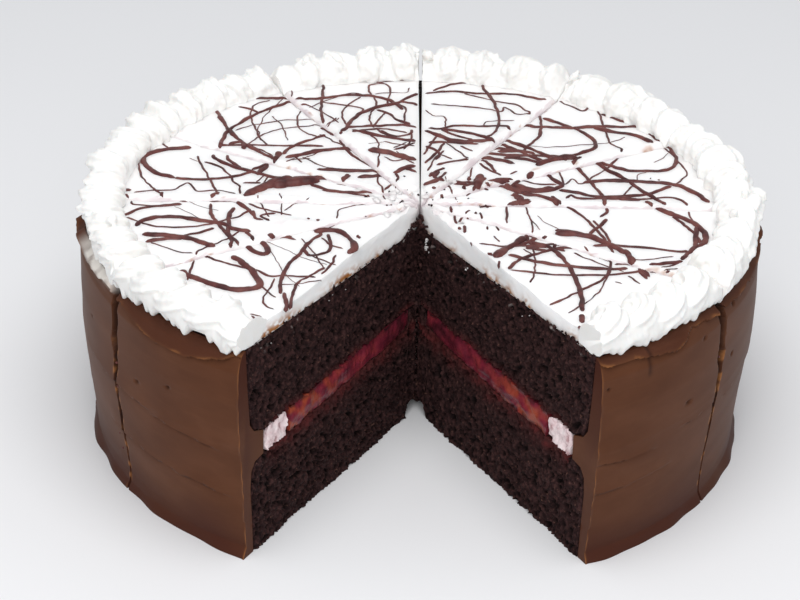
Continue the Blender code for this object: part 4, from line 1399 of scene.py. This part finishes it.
# %% Lump helpers
def lump(place, size, rng, squash=1.0):
    """Points and faces of one rough lump, `size` mm across, round a place in mm."""
    ball = bmesh.new()
    bmesh.ops.create_icosphere(ball, subdivisions=2, radius=size / 2)
    pinch = Vector((rng.uniform(0.7, 1.3), rng.uniform(0.6, 1.1), rng.uniform(0.5, 0.9)))
    seed = rng.randrange(1000)
    points = np.array([v.co for v in ball.verts])
    points *= (1 + 0.22 * ripples(*points.T, size * 0.9, seed))[:, None] * np.array(pinch)
    turn = rng.uniform(0, 6.28)
    axle = Vector((rng.random(), rng.random(), 1)).normalized()
    spin = np.array(Matrix.Rotation(turn, 3, axle))
    faces = [tuple(v.index for v in f.verts) for f in ball.faces]
    ball.free()
    return points @ spin.T * (1, 1, squash) + np.array(place), faces


def lump_piece(name, lumps, material, slot):
    """All the lumps of one kind as one piece."""
    return settle(make_piece(name, *joined(lumps), material, sharp=70), slot)


# %% Torn crumbs at the tips
def tip_crumbs(count, wide, ahead, way, deep, heights, sizes):
    """Lumps round the axis: how wide they scatter, and how far they lie in front (-1) or behind (1)."""
    return [lump((AXIS[0] + rng.gauss(0, wide), AXIS[1] + ahead + way * abs(rng.gauss(0, deep)),
                  rng.uniform(*heights)), rng.uniform(*sizes), rng) for _ in range(count)]


rng = random.Random(77)
torn = []
for _ in range(95):
    z = rng.uniform(44, 79) if rng.random() < 0.7 else rng.uniform(74, 81)
    x, y = AXIS[0] + rng.gauss(0, 0.9), AXIS[1] - 0.3 - abs(rng.gauss(0, 0.8))
    torn.append(lump((x, y, z), rng.uniform(1.0, 2.6), rng))
torn += tip_crumbs(60, 1.2, 0.6, -1, 1.0, (8, 44), (1.0, 2.4))
torn += tip_crumbs(34, 2.0, -0.8, -1, 1.2, (73, 82), (1.0, 2.4))
for cut in (CUTS[-1], CUTS[0]):
    for _ in range(9):
        r, z, angle = rng.uniform(1.5, 9), rng.uniform(76, 80.5), math.radians(cut)
        torn.append(lump((AXIS[0] + r * math.cos(angle), AXIS[1] + r * math.sin(angle) - 0.2, z),
                         rng.uniform(0.8, 1.8), rng))
torn += tip_crumbs(34, 2.4, 1.0, 1, 1.6, (2.2, 7.5), (1.2, 2.6))
lump_piece("torn_tip_crumbs", torn, SPONGE, "dark_sponge")
print("crumbs at the tips", len(torn))


# %% Cream flecks on the cut faces
def on_open_face(number, radius, height, proud):
    """A place on an open cut, standing `proud` mm out of it."""
    start, end = slice_span(number)
    x, y = slice_xy(number, radius, 0.0 if number == 1 else end - start)
    facing = start - math.pi / 2 if number == 1 else end + math.pi / 2
    return x + proud * math.cos(facing), y + proud * math.sin(facing), height


flecks = [lump(on_open_face(number, rng.uniform(3, 16), rng.uniform(60, 73), 0.2), rng.uniform(0.6, 1.2), rng)
          for number in OPEN_SLICES]
for k in range(7):
    out = 2.5 + rng.gauss(0, 0.2)
    place = (AXIS[0] + out, AXIS[1] - 1.75 * out - 0.8, 74.5 - 0.75 * k)
    flecks.append(lump(place, rng.uniform(0.8, 1.5), rng))
flecks += [lump(on_open_face(number, rng.uniform(20, 108), rng.uniform(73, 78), 0.1),
                rng.uniform(0.4, 0.9), rng)
           for number in OPEN_SLICES for _ in range(4)]
lump_piece("cream_flecks", flecks, CREAM, "whipped_cream")
print("flecks", len(flecks))

# %% Broken cream and crumbs round the middle
broken, strewn = [], []
for _ in range(56):
    angle, r = rng.uniform(0, 2 * math.pi), rng.uniform(2.5, 25)
    if 238 < math.degrees(angle) < 302:
        continue
    px, py = AXIS[0] + r * math.cos(angle), AXIS[1] + r * math.sin(angle)
    level = float(top_height(px, py))
    if rng.random() < 0.5:
        broken.append(lump((px, py, level - 0.1), rng.uniform(1.6, 4.4), rng, 0.45))
    else:
        strewn.append(lump((px, py, level + 0.2), rng.uniform(0.5, 1.3), rng))
lump_piece("strewn_crumbs", strewn, SPONGE, "dark_sponge")
broken_cream = lump_piece("broken_cream", broken, CREAM, "whipped_cream")
# Painted shade: the broken lumps get an even grey-pink tint.
store(broken_cream, "blush", np.full(len(broken_cream.data.vertices), 0.22))
print("broken cream", len(broken), "strewn crumbs", len(strewn))

# %% Chocolate chips
# Chips on the cream as x, y, height and size in mm, from the cake's middle; height 0 means on the cream.
CHIPS = ((78, -89, 86.5, 2.4), (14, -20, 0, 1.6), (20, -8, 0, 1.2), (24, -3, 0, 1.3), (17, -12, 0, 1.0),
         (85, 24, 0, 0.9), (88, 23, 0, 0.8), (54, 38, 0, 1.5), (57, 39, 0, 1.2), (-22, -29, 0, 1.4),
         (-16, 9, 0, 1.2), (-12, -3, 0, 1.0), (-19, 5, 0, 0.9), (-9, 12, 0, 1.1), (5, 12, 0, 1.2),
         (9, 6, 0, 1.0), (16, 12, 0, 1.8), (18, 20, 0, 1.6))
# Chips on the side as direction in degrees and height in mm.
SIDE_CHIPS = ((187, 38), (187.6, 37.4), (210.5, 47), (210.5, 43), (210.5, 24), (211.5, 19), (210, 52),
              (329.2, 56), (329.4, 60), (328.6, 49))
CHIP_RADIUS = 121.6

chips = []
for x, y, z, size in CHIPS:
    px, py = x + AXIS[0], y + AXIS[1]
    chips.append(lump((px, py, z or float(top_height(px, py)) + size * 0.2), size, rng))
for degrees, level in SIDE_CHIPS:
    angle = math.radians(degrees)
    place = (AXIS[0] + CHIP_RADIUS * math.cos(angle), AXIS[1] + CHIP_RADIUS * math.sin(angle), level)
    chips.append(lump(place, rng.uniform(0.7, 1.3), rng))
lump_piece("chocolate_chips", chips, DRIZZLE, None)
print("chips", len(chips))

# %% [markdown]
# ## Floor, light and camera
# A plain pale table under a big soft light overhead keeps shadows short, and a bright surround fills them.
# Pale surfaces should stay pale, so colours are shown in the standard way, without film-like rolling off.
# The camera is a long lens from a little over a metre away, looking down at about 28 degrees.

# %% Floor
scene = bpy.context.scene
scene.view_settings.view_transform = "Standard"
FLOOR_SIZE = 6000
floor_points = [(sx * FLOOR_SIZE / 2, sy * FLOOR_SIZE / 2, -0.05)
                for sx, sy in ((-1, -1), (1, -1), (1, 1), (-1, 1))]
FLOOR_FINISH, floor_shader = new_finish("pale_floor", 0.6, 0.2)
floor_shader.inputs["Base Color"].default_value = (0.82, 0.82, 0.83, 1)
floor = make_piece("floor", floor_points, [(0, 1, 2, 3)], FLOOR_FINISH)
print("floor in m", FLOOR_SIZE * MM)

# %% Light
def soft_light(name, place, aim, size, power):
    """A round soft lamp, `size` m across, turned towards `aim`."""
    lamp = bpy.data.lights.new(name, "AREA")
    lamp.shape, lamp.size, lamp.energy = "DISK", size, power
    holder = bpy.data.objects.new(name, lamp)
    holder.location = place
    holder.rotation_euler = (Vector(aim) - Vector(place)).to_track_quat("-Z", "Y").to_euler()
    scene.collection.objects.link(holder)
    print(name, "at", place, "with", power, "W")


surround = bpy.data.worlds.new("pale_surround")
surround.use_nodes = True
surround.node_tree.nodes["Background"].inputs["Color"].default_value = (0.95, 0.97, 1.0, 1)
surround.node_tree.nodes["Background"].inputs["Strength"].default_value = 0.555
scene.world = surround
soft_light("overhead", (0.0, -0.35, 1.1), (0, -0.05, 0), 0.9, 7.2)
soft_light("front_fill", (-0.1, -1.5, 0.9), (0, 0, 0.03), 0.9, 7.7)

# %% Camera
TURN, TILT, ROLL = (math.radians(a) for a in (-0.245, 28.39, 1.301))
AIM = Vector((AXIS[0] - 6.55, AXIS[1] - 8.71, 51.08)) * MM
DISTANCE = 1.1015
back = Vector((math.sin(TURN) * math.cos(TILT), -math.cos(TURN) * math.cos(TILT), math.sin(TILT)))
right = (-back).cross(Vector((0, 0, 1))).normalized()
up = right.cross(-back)
across = math.cos(ROLL) * right + math.sin(ROLL) * up
above = -math.sin(ROLL) * right + math.cos(ROLL) * up
lens = bpy.data.cameras.new("long_lens")
lens.lens, lens.sensor_width = 135.8, 36
lens.clip_start, lens.clip_end = 0.05, 20
camera = bpy.data.objects.new("camera", lens)
place = AIM + back * DISTANCE
camera.matrix_world = Matrix([(across[i], above[i], back[i], place[i]) for i in range(3)] + [(0, 0, 0, 1)])
scene.collection.objects.link(camera)
scene.camera = camera
print("camera at", [round(v, 3) for v in place])
